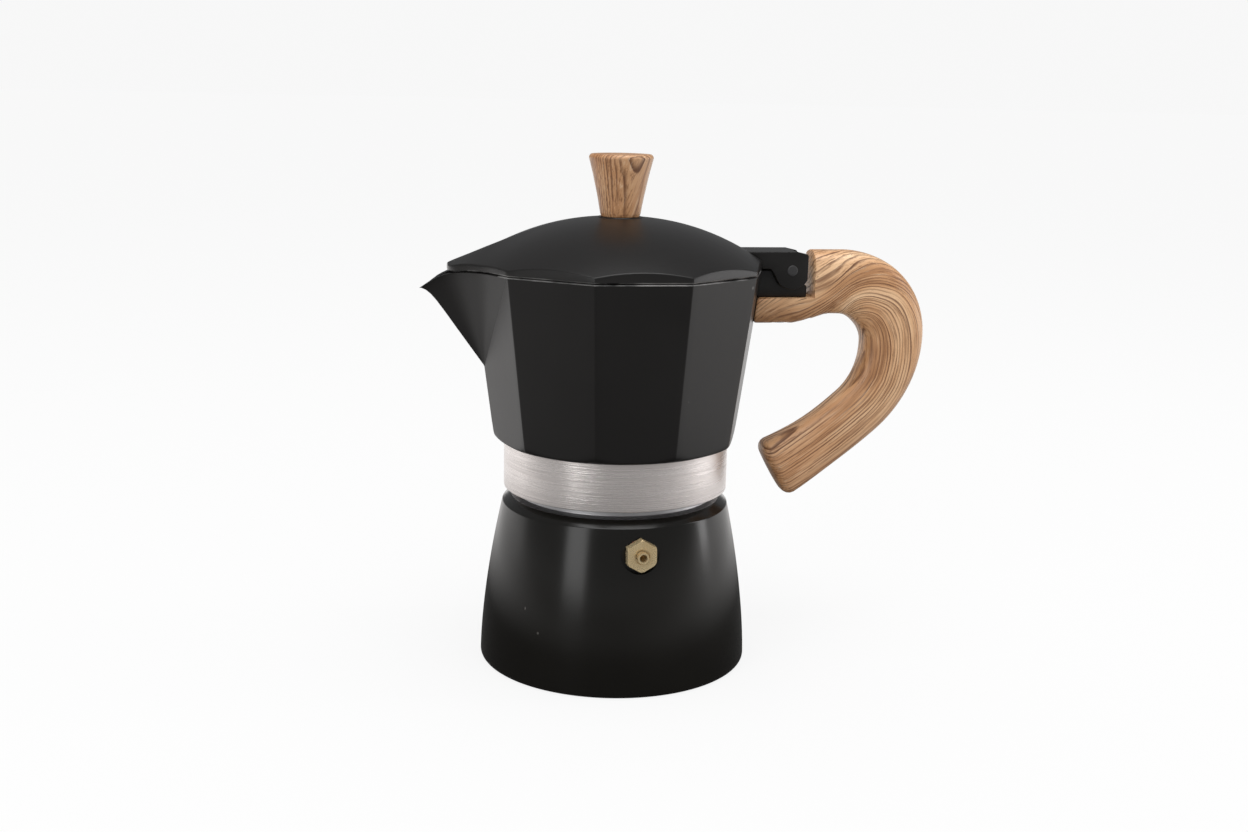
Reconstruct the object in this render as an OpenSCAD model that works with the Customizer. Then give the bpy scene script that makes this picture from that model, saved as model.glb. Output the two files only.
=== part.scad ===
// Stovetop coffee pot: a round boiler, a coffee funnel, and a ten-sided
// collector with a pouring spout, a hinged lid, a knob and an open handle.
// The origin is the centre of the boiler's flat underside, +Z is up,
// the spout points along -X and the handle along +X. Millimetres.

/* [Boiler] */
// Diameter of the boiler where it stands
base_d = 100; // [92:1:112]
// Height of the crisp edge where the wall turns in to the neck
shoulder_h = 59.8; // [54:0.2:68]
// Width of the step from the neck out to that edge
shoulder_w = 4.5; // [3:0.1:7]
// How late the wall starts to curve inwards, as an exponent
wall_curve = 1.65; // [1.2:0.05:2.5]
// Thickness of the boiler's wall
boiler_wall = 2.6; // [2:0.1:3.4]
// Thickness of the boiler's bottom
boiler_bottom = 3; // [2:0.1:5]
// Radius of the rounding at the foot of the wall
foot_r = 1.6; // [0.5:0.1:3]
// Height of the bevel between the shoulder edge and the neck
shoulder_bevel = 2.6; // [1.5:0.1:4]

/* [Screw joint] */
// Outer diameter of the boiler's threaded neck
neck_d = 75; // [72:0.5:76]
// Wall of the neck
neck_wall = 3.3; // [2.4:0.1:4]
// Radial clearance of the collar over the neck
thread_gap = 0.3; // [0.2:0.05:0.6]
// Wall of the bare metal collar
collar_wall = 3.65; // [2.5:0.05:6]
// Height of the collar
collar_h = 17.4; // [15:0.1:24]
// Open gap between the boiler's shoulder and the collar
collar_gap = 3.2; // [1.5:0.1:5]
// How far the neck reaches up into the collar
thread_cover = 10.6; // [7:0.1:11]

/* [Safety valve] */
// Direction of the valve around the boiler, in degrees from +X
valve_turn = -87; // [-180:1:180]
// Height of the valve above the base
valve_h = 51.2; // [30:0.2:54]
// Width of the valve's hexagon across its flats
valve_flats = 10.4; // [9:0.1:13]
// Thickness of the hexagon
valve_hex_h = 3.2; // [2.5:0.1:5]
// Wall of the valve's threaded shank
valve_wall = 1.25; // [0.9:0.05:1.5]
// Clearance on either side of the spring in the valve's bore
spring_gap = 0.15; // [0.1:0.05:0.3]
// Outer diameter of the plunger's hollow stem
stem_d = 4; // [3.2:0.1:4.8]
// How far the stem stands out of the hexagon
stem_out = 2; // [1:0.1:3]
// Wire diameter of the valve spring
spring_wire = 0.45; // [0.3:0.05:0.5]
// Number of turns of the valve spring
spring_turns = 5; // [4:1:8]

/* [Funnel] */
// Thickness of the funnel's sheet
funnel_sheet = 0.8; // [0.6:0.1:1.2]
// Radial clearance of the funnel's basket in the neck
basket_gap = 0.6; // [0.4:0.1:2]
// Depth of the coffee basket below the neck's rim
basket_h = 24; // [18:0.5:28]
// Height of the cone below the basket
cone_h = 7; // [4:0.5:12]
// Outer diameter of the funnel's tube
tube_d = 10; // [8:0.5:12]
// Gap between the tube's foot and the boiler's floor
tube_gap = 5; // [3:0.5:12]
// Thickness of the funnel's flange, which rests on the neck
flange_t = 1; // [0.8:0.1:1.5]

/* [Gasket and filter plate] */
// Thickness of the rubber gasket
gasket_t = 2.6; // [2:0.1:3.5]
// Width of the gasket's ring
gasket_w = 7.2; // [5:0.1:9]
// Thickness of the two perforated plates
plate_t = 1; // [0.6:0.1:1.4]
// How far the filter plate's edge lies inside the neck's outer wall
filter_margin = 3; // [2:0.1:4]
// Diameter of the perforations
hole_d = 1.8; // [1.2:0.1:2.4]
// Distance between the rings of perforations
hole_pitch = 6; // [4:0.5:8]
// Number of rings of perforations round the middle one
hole_rings = 4; // [2:1:4]

/* [Collector] */
// Number of flat sides of the collector and the lid
sides = 10; // [8:2:12]
// Diameter over the corners at the rim
rim_d = 107.5; // [100:0.5:116]
// How far the corners stand out over the collar where the sides begin
waist_out = 4.15; // [3.2:0.05:6]
// Height of the collector from the top of the collar to the rim
collector_h = 63.5; // [56:0.5:76]
// Thickness of the collector's wall
collector_wall = 2.6; // [2:0.1:3.5]
// Radius of the rounding below the flat sides
waist_r = 5; // [3:0.1:6]
// Outer diameter of the column at its foot
column_d = 16; // [13:0.5:20]
// Outer diameter of the column at its top
column_top_d = 10.5; // [9.5:0.5:14]
// Diameter of the column's bore
column_bore_d = 6; // [4:0.5:8]
// Distance from the column's top down from the rim
column_drop = 13; // [8:0.5:20]

/* [Spout] */
// How far the spout's tip stands out from the rim's corner
spout_out = 18.45; // [14:0.05:26]
// How far the tip lies below the rim
spout_drop = 7.3; // [3:0.1:10]
// How far the foot of the spout lies below the rim
spout_h = 36; // [28:0.5:44]
// Share of the full size that the inside of the spout has
spout_hollow = 0.92; // [0.88:0.01:0.94]

/* [Hinge] */
// Distance of the hinge pin from the rim's corner
pin_out = 8.95; // [7:0.05:12]
// Height of the hinge pin above the collector's rim
pin_rise = -0.3; // [-1:0.1:0.5]
// Diameter of the hinge pin
pin_d = 4; // [3:0.1:4.4]
// Radial clearance of the pin in the lid's ears
pin_gap = 0.06; // [0.03:0.01:0.1]
// Radius of the lid's two ears
ear_r = 6.9; // [6.2:0.1:7.2]
// Thickness of one ear
ear_t = 2; // [1.6:0.1:3]
// Width of the collector's hinge lug
lug_w = 12.4; // [10:0.2:13]
// Side clearance between the lug and an ear
ear_gap = 0.3; // [0.2:0.05:0.6]
// Gap between the lug's underside and the ears as they swing
lug_gap = 1.75; // [0.4:0.05:4]
// Gap between the handle's shoulder and the ears as they swing
shoulder_gap = 0.55; // [0.3:0.05:4]
// Length of the lug from the pin to its outer end
lug_out = 5.5; // [4:0.1:5.8]

/* [Lid] */
// Gap between the lid and the rim
lid_gap = 0.3; // [0.2:0.05:0.6]
// Height of the lid's middle above the rim
dome_h = 18.3; // [14:0.1:24]
// Height of the lid's edge at its corners
lid_edge_h = 1.8; // [1:0.1:3.2]
// Roundness of the dome, as an exponent
dome_curve = 2.25; // [1.8:0.05:2.8]
// Thickness of the lid
lid_wall = 2.4; // [2:0.1:3]
// How far the lid's beak stands out from the rim's corner
beak_out = 8.35; // [6:0.05:12]

/* [Knob] */
// Height of the knob
knob_h = 22.4; // [18:0.1:28]
// Diameter of the knob at its foot
knob_foot_d = 14.2; // [12:0.1:18]
// Diameter of the knob at its top
knob_top_d = 23.6; // [18:0.1:28]
// Rounding of the knob's top edge
knob_round = 2; // [1:0.1:4]
// Diameter of the knob's screw
knob_screw_d = 4; // [3:0.1:4.4]
// Depth of the threaded insert in the knob
insert_h = 9; // [6:0.5:12]

/* [Handle] */
// Height of the arm's centre line below the rim
arm_drop = 5.2; // [4:0.1:7]
// Length of the straight arm
arm_l = 11.5; // [8:0.5:20]
// Radius of the bend at the top of the handle
bend_top_r = 21.5; // [18:0.5:28]
// Radius of the bend at the back of the handle
bend_back_r = 37; // [28:0.5:48]
// Angle turned at the back
bend_back_a = 48; // [38:1:56]
// Radius of the slow bend along the grip
grip_bend_r = 160; // [120:5:260]
// Angle turned along the grip
grip_a = 13; // [8:1:18]
// Share of the handle's height that its width has
handle_width = 0.74; // [0.6:0.01:0.9]
// Height of the tongue that lies under the lug
tongue_h = 10.1; // [8:0.1:12]
// Distance of the handle's screw from the rim's corner
handle_screw_out = 6.25; // [5:0.05:8]
// Diameter of the handle's screw
handle_screw_d = 5; // [4:0.1:5.4]

/* [Hidden] */
$fn = 96;

// Small overlap that lets one shape cut cleanly through another
eps = 0.1;
// Edge of the tiny cubes whose hull is a shape with flat sides
dot = 0.02;

// Heights, from the base up
shoulder_top = shoulder_h + shoulder_bevel;
collar_z = shoulder_top + collar_gap;
neck_top = collar_z + thread_cover;
flange_top = neck_top + flange_t;
gasket_top = flange_top + gasket_t;
plate_top = gasket_top + plate_t;
collar_top = collar_z + collar_h;
rim_z = collar_top + collector_h;
lid_z = rim_z + lid_gap;
dome_top = rim_z + dome_h;

// Boiler
neck_r = neck_d / 2;
shoulder_r = neck_r + shoulder_w;
collar_bore_r = neck_r + thread_gap;
collar_r = collar_bore_r + collar_wall;
neck_bore_r = neck_r - neck_wall;
wall_steps = 14;
function wall_r(z) = base_d / 2 - (base_d / 2 - shoulder_r) * pow(max(z, 0) / shoulder_h, wall_curve);

// Valve, measured outwards from the pot's axis
valve_bore_d = stem_d + 2 * spring_wire + 4 * spring_gap;
valve_shank_d = valve_bore_d + 2 * valve_wall;
valve_pad_r = valve_flats / 2 + 1.8;
valve_face = wall_r(valve_h) - 0.8;
valve_washer_t = 0.6;
valve_hex_z = valve_face + valve_washer_t;
valve_out = valve_hex_z + valve_hex_h;
valve_pad_t = 4.6;
valve_in = valve_face - valve_pad_t - 1.4;
valve_seat_t = 1.2;
valve_seat_d = 2.4;
seal_t = 0.9;
plunger_head_t = 1.2;
retainer_t = 0.8;
retainer_in = 0.7;
valve_fit = 0.1;
seal_z = valve_in + valve_seat_t + 0.05;
head_z = seal_z + seal_t;
spring_z = head_z + plunger_head_t;
retainer_z = valve_out - retainer_in - retainer_t;
spring_r = (stem_d + valve_bore_d) / 4;
stem_bore_d = stem_d - 1.2;

// Funnel
basket_r = neck_bore_r - basket_gap;
basket_z = neck_top - basket_h;
ledge_w = 2.2;
flange_r = neck_r - 0.3;
plate_r = basket_r - funnel_sheet - 0.2;
cone_z = basket_z - cone_h;
spigot_h = 4;
tube_z = boiler_bottom + tube_gap;

// Gasket and filter plate
gasket_r = neck_r - 0.1;
filter_r = neck_r - filter_margin;
filter_gap = 0.3;
filter_ledge = 2;

// Collector
rim_r = rim_d / 2;
waist_z = collar_top + 3.3;
waist_corner_r = collar_r + waist_out;
flare = (rim_r - waist_corner_r) / (rim_z - waist_z);
side_cos = cos(180 / sides);
function corner_r(z) = waist_corner_r + flare * (z - waist_z);
floor_z = collar_top + 3.6;
floor_rise = 5.2;
floor_t = 3.2;
column_top = rim_z - column_drop;
slot_h = 7;

// Spout: a side wall runs from a corner line of the body to the keel
spout_steps = 8;
lip_steps = 12;
corner_a = 360 / sides;
spout_sink = 0.8;
spout_corner = [(spout_sink - rim_r) * cos(corner_a), (rim_r - spout_sink) * sin(corner_a), rim_z - 0.05];
spout_foot_z = rim_z - spout_h;
spout_foot = [-corner_r(spout_foot_z) + 1, 0, spout_foot_z];
spout_tip = [-rim_r - spout_out, 0, rim_z - spout_drop];

// Hinge, lug and ears
pin_x = rim_r + pin_out;
pin_z = rim_z + pin_rise;
// Highest outer corner of an ear, measured from the pin, and the circle it swings on
ear_corner = [ear_r - 0.5, ear_r - 1.7];
ear_swing = norm(ear_corner);
pin_r = pin_d / 2;
knuckle_r = 4.6;
knuckle_gap = 0.5;
ear_in = lug_w / 2 + ear_gap;
ear_out = ear_in + ear_t;
tab_x = rim_r - 8.75;
lug_z = pin_z - ear_swing - lug_gap;
lug_h = rim_z - lug_z;

// Lid
lid_r = rim_r + 0.15;
dome_steps = 14;
function dome_z(r) = dome_top - (dome_h - lid_gap - lid_edge_h) * pow(r / lid_r, dome_curve);
beak_reach = rim_r + beak_out;
beak_half = 3.2;
beak_end_h = 2.8;
beak_droop = 1.4;
knob_pad_r = knob_foot_d / 2 + 1;
knob_z = dome_top;

// Knob screw
washer_t = 0.8;
screw_head_h = 2.4;
lid_underside = dome_top - lid_wall;

// Handle
shoulder_x = pin_x + ear_swing + shoulder_gap;
handle_screw_x = rim_r + handle_screw_out;
arm_z = rim_z - arm_drop;
tongue_x = rim_r - 1.1;
tongue_z = lug_z - tongue_h;
counterbore_h = 4;
lock_washer_t = 1;
handle_steps = 8;
section_steps = 20;
// Half the handle's height at each angle turned since the shoulder
half_heights = [[0, 11.8], [45, 12.5], [90, 11.6], [90 + bend_back_a, 10.2],
                [90 + bend_back_a + grip_a * 0.5, 10.3], [90 + bend_back_a + grip_a, 11.7]];
end_round = 3.5;
section_power = 0.78;

// ---- helpers --------------------------------------------------------------

// Hull of a list of corners
module corner_hull(corners) {
    hull()
    for (corner = corners)
        translate(corner)
        cube(dot, center = true);
}

// Ring or disc standing on height z
module ring(z, h, r_out, r_in = 0) {
    translate([0, 0, z])
    difference() {
        cylinder(h = h, r = r_out);
        if (r_in > 0)
            translate([0, 0, -eps])
            cylinder(h = h + 2 * eps, r = r_in);
    }
}

// Upright prism with the collector's number of sides, r at the corners
module sided_prism(z, h, r) {
    translate([0, 0, z])
    linear_extrude(h)
    circle(r = r, $fn = sides);
}

// Flaring prism from z0 to z1, with r0 and r1 at the corners
module sided_flare(z0, z1, r0, r1) {
    translate([0, 0, z0])
    linear_extrude(z1 - z0, scale = r1 / r0)
    circle(r = r0, $fn = sides);
}

// Side profile in the XZ plane, extruded between two distances either side of it
module profile_slab(y0, y1) {
    translate([0, y1, 0])
    rotate([90, 0, 0])
    linear_extrude(y1 - y0)
    children();
}

// Cylinder across the pot at the hinge pin's place
module pin_cylinder(r, half_length) {
    translate([pin_x, half_length, pin_z])
    rotate([90, 0, 0])
    cylinder(h = 2 * half_length, r = r);
}

// Places children on the valve's axis, local +Z pointing outwards
module at_valve() {
    rotate([0, 0, valve_turn])
    translate([0, 0, valve_h])
    rotate([0, 90, 0])
    children();
}

// Perforated disc with one hole in the middle and rings of holes round it
module perforated_disc(z, r) {
    difference() {
        ring(z, plate_t, r);
        for (k = [0 : hole_rings])
            for (i = [0 : max(1, 6 * k) - 1])
                rotate([0, 0, 360 * i / max(1, 6 * k)])
                translate([k * hole_pitch, 0, z - eps])
                cylinder(h = plate_t + 2 * eps, d = hole_d, $fn = 24);
    }
}

// ---- boiler and safety valve ----------------------------------------------

// Outline of the boiler's outside from the axis to the neck's top
module boiler_outline() {
    polygon([
        [0, 0],
        for (i = [0 : 4]) [wall_r(foot_r) - foot_r + foot_r * sin(i * 22.5), foot_r - foot_r * cos(i * 22.5)],
        for (i = [1 : wall_steps]) [wall_r(shoulder_h * i / wall_steps), shoulder_h * i / wall_steps],
        [neck_r + 1.2, shoulder_top],
        [neck_r, shoulder_top + 0.6],
        [neck_r, neck_top],
        [0, neck_top]
    ]);
}

// Outline of the boiler's hollow
module boiler_hollow() {
    top_z = shoulder_h - 4;
    polygon([
        [0, boiler_bottom],
        [wall_r(boiler_bottom) - boiler_wall - 3, boiler_bottom],
        [wall_r(boiler_bottom + 3) - boiler_wall, boiler_bottom + 3],
        for (i = [3 : 10]) [wall_r(top_z * i / 10) - boiler_wall, top_z * i / 10],
        [neck_bore_r, shoulder_top + 1],
        [neck_bore_r, neck_top + eps],
        [0, neck_top + eps]
    ]);
}

module boiler() {
    color("#1b1b1c")
    difference() {
        union() {
            difference() {
                rotate_extrude() boiler_outline();
                rotate_extrude() boiler_hollow();
            }
            // Pad inside the wall that takes the valve's thread
            intersection() {
                at_valve()
                translate([0, 0, valve_face - valve_pad_t])
                cylinder(h = valve_pad_t + 4, r = valve_pad_r);
                rotate_extrude() boiler_outline();
            }
        }
        at_valve() {
            // Flat seat for the valve's washer
            translate([0, 0, valve_face])
            cylinder(h = 20, r = valve_pad_r);
            // Threaded hole
            translate([0, 0, valve_face - valve_pad_t - 6])
            cylinder(h = 20, d = valve_shank_d);
        }
    }
}

module valve_body() {
    color("#c9a668")
    at_valve()
    difference() {
        union() {
            translate([0, 0, valve_in])
            cylinder(h = valve_hex_z - valve_in + eps, d = valve_shank_d);
            intersection() {
                translate([0, 0, valve_hex_z])
                cylinder(h = valve_hex_h, d = valve_flats / cos(30), $fn = 6);
                // Chamfer that takes the hexagon's outer corners off
                translate([0, 0, valve_hex_z])
                cylinder(h = valve_hex_h, r1 = valve_flats / 2 + 1.9, r2 = valve_flats / 2 + 0.4);
            }
        }
        translate([0, 0, valve_in + valve_seat_t])
        cylinder(h = valve_out - valve_in, d = valve_bore_d);
        translate([0, 0, valve_in - eps])
        cylinder(h = valve_seat_t + 2 * eps, d = valve_seat_d);
    }
}

module valve_washer() {
    color("#7d3b2c")
    at_valve()
    ring(valve_face, valve_washer_t, valve_flats / 2 - 0.1, valve_shank_d / 2 + 0.05);
}

module valve_retainer() {
    color("#b8955a")
    at_valve()
    ring(retainer_z, retainer_t, valve_bore_d / 2, stem_d / 2 + valve_fit);
}

// Point on the spring's wire: t runs along the helix, a round the wire
function spring_point(t, a) =
    let (turn = 360 * spring_turns * t,
         span = retainer_z - spring_z - spring_wire,
         r = spring_r + spring_wire / 2 * cos(a))
    [r * cos(turn), r * sin(turn), spring_z + spring_wire / 2 + span * t + spring_wire / 2 * sin(a)];

// Skin of a swept tube: rows of points, each with the same number round it
module swept_solid(rows) {
    n = len(rows[0]);
    m = len(rows);
    polyhedron(
        points = [for (row = rows) each row],
        faces = [
            [for (i = [0 : n - 1]) i],
            for (j = [0 : m - 2])
                for (i = [0 : n - 1])
                    [j * n + i, (j + 1) * n + i, (j + 1) * n + (i + 1) % n, j * n + (i + 1) % n],
            [for (i = [n - 1 : -1 : 0]) (m - 1) * n + i]
        ],
        convexity = 6);
}

module valve_spring() {
    color("#b9bcc0")
    at_valve()
    swept_solid([
        for (j = [0 : 18 * spring_turns])
            [for (a = [300 : -60 : 0]) spring_point(j / (18 * spring_turns), a)]
    ]);
}

module valve_plunger() {
    color("#c9a668")
    at_valve()
    difference() {
        union() {
            translate([0, 0, head_z])
            cylinder(h = plunger_head_t, d = valve_bore_d - 2 * valve_fit);
            translate([0, 0, head_z])
            cylinder(h = valve_out + stem_out - head_z, d = stem_d);
        }
        translate([0, 0, spring_z + 1.5])
        cylinder(h = 40, d = stem_bore_d);
    }
}

module valve_seal() {
    color("#3a3a3a")
    at_valve()
    ring(seal_z, seal_t, valve_bore_d / 2 - 0.4);
}

// ---- funnel, gasket and filter --------------------------------------------

module funnel_basket() {
    spigot_r = tube_d / 2;
    color("#c3c5c8")
    rotate_extrude()
    polygon([
        [flange_r, neck_top],
        [flange_r, flange_top],
        [basket_r - funnel_sheet, flange_top],
        [basket_r - funnel_sheet, basket_z],
        [basket_r - funnel_sheet - ledge_w, basket_z],
        [spigot_r, cone_z],
        [spigot_r, cone_z - spigot_h],
        [spigot_r + funnel_sheet, cone_z - spigot_h],
        [spigot_r + funnel_sheet, cone_z - funnel_sheet * 0.4],
        [basket_r - funnel_sheet - ledge_w + 0.4, basket_z - funnel_sheet],
        [basket_r, basket_z - funnel_sheet],
        [basket_r, neck_top]
    ]);
}

module funnel_tube() {
    color("#bfc1c4")
    ring(tube_z, cone_z - tube_z, tube_d / 2, tube_d / 2 - funnel_sheet);
}

module funnel_plate() {
    color("#d0d2d4")
    perforated_disc(basket_z, plate_r);
}

module gasket() {
    color("#ece9e0")
    ring(flange_top, gasket_t, gasket_r, gasket_r - gasket_w);
}

module filter_plate() {
    color("#d0d2d4")
    perforated_disc(gasket_top, filter_r);
}

// ---- collector ------------------------------------------------------------

// Point on the upper edge of one spout wall, t from the body's corner to the tip
function lip_point(t) =
    let (x = spout_corner.x + (spout_tip.x - spout_corner.x) * pow(t, 0.94),
         y = spout_corner.y * pow(1 - t, 1.55),
         z = spout_corner.z - (spout_corner.z - spout_tip.z) * pow(t, 2.9))
    [x, y, z];

// Point on the keel, s from the foot to the tip, with a curl at the end
function keel_point(s) =
    spout_foot + (spout_tip - spout_foot) * s + [1.7, 0, 1.7] * sin(180 * pow(s, 1.6)) * s * 0.5;

// Point on a spout wall: s rises from the foot, t runs outwards, side is -1 or 1
function spout_point(s, t, side, back) =
    let (edge = spout_foot + (spout_corner - spout_foot) * s,
         straight = edge * (1 - t) + keel_point(s) * t,
         bow = lip_point(t) - (spout_corner * (1 - t) + spout_tip * t),
         p = straight + bow * pow(s, 1.5))
    [p.x + back * (1 - t), side * p.y, p.z];

// Solid spout; back moves its rear face towards the pot's axis
module spout_solid(back = 0) {
    // Each level is a loop: out along one wall to the keel and back along the other
    n = 2 * lip_steps + 1;
    m = spout_steps;
    foot_id = n * m;
    function id(j, i) = (j - 1) * n + i;
    polyhedron(
        points = [
            for (j = [1 : m])
                each [
                    for (i = [0 : lip_steps]) spout_point(j / m, i / lip_steps, -1, back),
                    for (i = [lip_steps - 1 : -1 : 0]) spout_point(j / m, i / lip_steps, 1, back)
                ],
            spout_foot + [back, 0, 0]
        ],
        faces = [
            for (i = [0 : n - 1])
                each [
                    [foot_id, id(1, (i + 1) % n), id(1, i)],
                    for (j = [1 : m - 1])
                        [id(j, i), id(j, (i + 1) % n), id(j + 1, (i + 1) % n), id(j + 1, i)]
                ],
            for (i = [0 : lip_steps - 2])
                [id(m, i), id(m, i + 1), id(m, n - 2 - i), id(m, n - 1 - i)],
            [id(m, lip_steps - 1), id(m, lip_steps), id(m, lip_steps + 1)]
        ],
        convexity = 8);
}

// Inside of the spout, a smaller copy drawn towards a point above the rim
module spout_channel() {
    focus = [spout_corner.x + 6, 0, rim_z + 4.5];
    translate(focus)
    scale(spout_hollow)
    translate(-focus)
    spout_solid(back = 4);
}

// Outside of the ten-sided body, rounded in to the collar below
module chamber_outside() {
    intersection() {
        sided_flare(collar_top, rim_z, corner_r(collar_top), corner_r(rim_z));
        rotate_extrude()
        polygon([
            [0, collar_top],
            for (i = [0 : 6])
                [collar_r + waist_r * sin(i * 15), collar_top + waist_r - waist_r * cos(i * 15)],
            [rim_d, collar_top + waist_r * 3],
            [rim_d, rim_z + 1],
            [0, rim_z + 1]
        ]);
    }
}

// Inside of the ten-sided body, above its sloping floor
module chamber_inside() {
    inset = collector_wall / side_cos;
    wall_foot = collar_r - 4.4;
    intersection() {
        sided_flare(collar_top, rim_z + 1, corner_r(collar_top) - inset, corner_r(rim_z + 1) - inset);
        rotate_extrude()
        polygon([
            [0, floor_z + floor_rise],
            [wall_foot, floor_z],
            [wall_foot + 3, floor_z + 1.3],
            [wall_foot + 5.5, floor_z + 4.5],
            [rim_d, floor_z + 12],
            [rim_d, rim_z + 2],
            [0, rim_z + 2]
        ]);
    }
}

// Space below the floor: thread, gasket seat, filter seat and steam cone
module collector_underside() {
    seat_r = filter_r + filter_gap;
    cone_r = filter_r - filter_ledge;
    rotate_extrude()
    polygon([
        [0, collar_z - eps],
        [collar_bore_r + 0.6, collar_z - eps],
        [collar_bore_r, collar_z + 0.6],
        [collar_bore_r, gasket_top],
        [seat_r, gasket_top],
        [seat_r, plate_top],
        [cone_r, plate_top],
        [cone_r, floor_z - floor_t],
        [column_bore_d / 2, floor_z + floor_rise - floor_t],
        [0, floor_z + floor_rise - floor_t]
    ]);
}

// Side profile of the lug that carries the hinge pin and the handle
module lug_profile() {
    translate([pin_x, pin_z])
    circle(r = knuckle_r);
    polygon([
        [tab_x + 3, lug_z],
        [pin_x + lug_out, lug_z],
        [pin_x + lug_out, lug_z + 3.3],
        [pin_x + knuckle_r * cos(46), pin_z - knuckle_r * sin(46)],
        [pin_x, pin_z],
        [pin_x - knuckle_r, rim_z - 0.2],
        [tab_x + 3, rim_z - 0.2]
    ]);
}

module collector() {
    color("#262627")
    difference() {
        union() {
            difference() {
                union() {
                    chamber_outside();
                    ring(collar_z, collar_h + eps, collar_r);
                    spout_solid();
                    profile_slab(-lug_w / 2, lug_w / 2) lug_profile();
                }
                chamber_inside();
                spout_channel();
            }
            // Column that carries the coffee up from below the floor
            translate([0, 0, floor_z])
            cylinder(h = column_top - floor_z, d1 = column_d, d2 = column_top_d);
        }
        collector_underside();
        translate([0, 0, floor_z])
        cylinder(h = column_top - floor_z - 3, d = column_bore_d);
        // Two side slots below the column's closed top
        translate([-column_d / 2, -column_bore_d / 2, column_top - 3 - slot_h])
        cube([column_d, column_bore_d, slot_h]);
        pin_cylinder(pin_r, lug_w);
        // Threaded hole for the handle's screw
        translate([handle_screw_x, 0, lug_z - eps])
        cylinder(h = lug_h - 4 + eps, d = handle_screw_d);
    }
}

module hinge_pin() {
    color("#3d3d3f")
    pin_cylinder(pin_r, ear_out + 0.3);
}

// ---- handle ---------------------------------------------------------------

// Centres of the three bends of the handle's centre line
bend_top_c = [shoulder_x + arm_l, arm_z - bend_top_r];
bend_back_c = bend_top_c + [bend_top_r - bend_back_r, 0];
back_end_a = 90 + bend_back_a;
grip_c = bend_back_c + (bend_back_r - grip_bend_r) * [sin(back_end_a), cos(back_end_a)];

// Point of the centre line after turning by a
function handle_point(a) =
    a <= 90 ? bend_top_c + bend_top_r * [sin(a), cos(a)]
    : a <= back_end_a ? bend_back_c + bend_back_r * [sin(a), cos(a)]
    : grip_c + grip_bend_r * [sin(a), cos(a)];

// Rounded cross-section at a point of the centre line, shrunk by inset
function handle_section(p, a, half, inset) = [
    for (i = [0 : section_steps - 1])
        let (t = 360 * i / section_steps,
             u = sign(sin(t)) * pow(abs(sin(t)), section_power) * (half - inset),
             v = sign(cos(t)) * pow(abs(cos(t)), section_power) * (half * handle_width - inset))
        [p.x + u * sin(a), v, p.y + u * cos(a)]
];

module handle_grip() {
    last_a = back_end_a + grip_a;
    last_p = handle_point(last_a);
    // Direction of the centre line at its end
    last_d = [cos(last_a), -sin(last_a)];
    swept_solid([
        for (i = [0 : 2])
            handle_section([shoulder_x + 1.2 * (1 - cos(45 * i)), arm_z], 0, lookup(0, half_heights),
                           1.2 * (1 - sin(45 * i))),
        for (a = [0 : 90 / handle_steps : 90])
            handle_section(handle_point(a), a, lookup(a, half_heights), 0),
        for (i = [1 : handle_steps])
            let (a = 90 + bend_back_a * i / handle_steps)
            handle_section(handle_point(a), a, lookup(a, half_heights), 0),
        for (i = [1 : handle_steps])
            let (a = back_end_a + grip_a * i / handle_steps)
            handle_section(handle_point(a), a, lookup(a, half_heights), 0),
        for (i = [1 : 3])
            handle_section(last_p + last_d * end_round * sin(i * 30), last_a, lookup(last_a, half_heights),
                           end_round * (1 - cos(i * 30)))
    ]);
}

// Tongue that lies under the lug, with its front face towards the body
module handle_tongue() {
    half_w = lookup(0, half_heights) * handle_width - 0.3;
    arm_foot = arm_z - lookup(0, half_heights);
    profile_slab(-half_w, half_w)
    polygon([
        [tongue_x, tongue_z],
        [handle_screw_x + 5.2, tongue_z],
        [shoulder_x + 6, arm_foot + 0.6],
        [shoulder_x + 8, arm_z],
        [shoulder_x + 0.6, arm_z],
        [shoulder_x, lug_z],
        [tongue_x, lug_z]
    ]);
}

module handle() {
    color("#b98a5e")
    difference() {
        union() {
            handle_grip();
            handle_tongue();
        }
        translate([handle_screw_x, 0, tongue_z - eps])
        cylinder(h = tongue_h + 2 * eps, r = handle_screw_d / 2 + 0.2);
        translate([handle_screw_x, 0, tongue_z - eps])
        cylinder(h = counterbore_h + eps, r = handle_screw_d / 2 + 2.2);
    }
}

module handle_screw() {
    head_z0 = tongue_z + counterbore_h - lock_washer_t - 2.6;
    color("#8f9194")
    translate([handle_screw_x, 0, 0])
    difference() {
        union() {
            translate([0, 0, head_z0])
            cylinder(h = 2.6, r = handle_screw_d / 2 + 1.7);
            translate([0, 0, head_z0])
            cylinder(h = rim_z - 5 - head_z0, d = handle_screw_d);
        }
        // Cross slot in the head
        for (turn = [0, 90])
            rotate([0, 0, turn])
            translate([-2.2, -0.4, head_z0 - eps])
            cube([4.4, 0.8, 1.3]);
    }
}

module handle_washer() {
    color("#a3a5a8")
    translate([handle_screw_x, 0, 0])
    ring(tongue_z + counterbore_h - lock_washer_t, lock_washer_t, handle_screw_d / 2 + 1.9,
         handle_screw_d / 2 + 0.1);
}

// ---- lid and knob ---------------------------------------------------------

// Outline under the dome's curve, lowered by drop
module dome_outline(drop, foot) {
    r_end = lid_r + 4;
    polygon([
        [0, foot],
        [r_end, foot],
        for (i = [dome_steps : -1 : 1]) [r_end * i / dome_steps, max(foot, dome_z(r_end * i / dome_steps) - drop)],
        [0, dome_z(0) - drop]
    ]);
}

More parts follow.
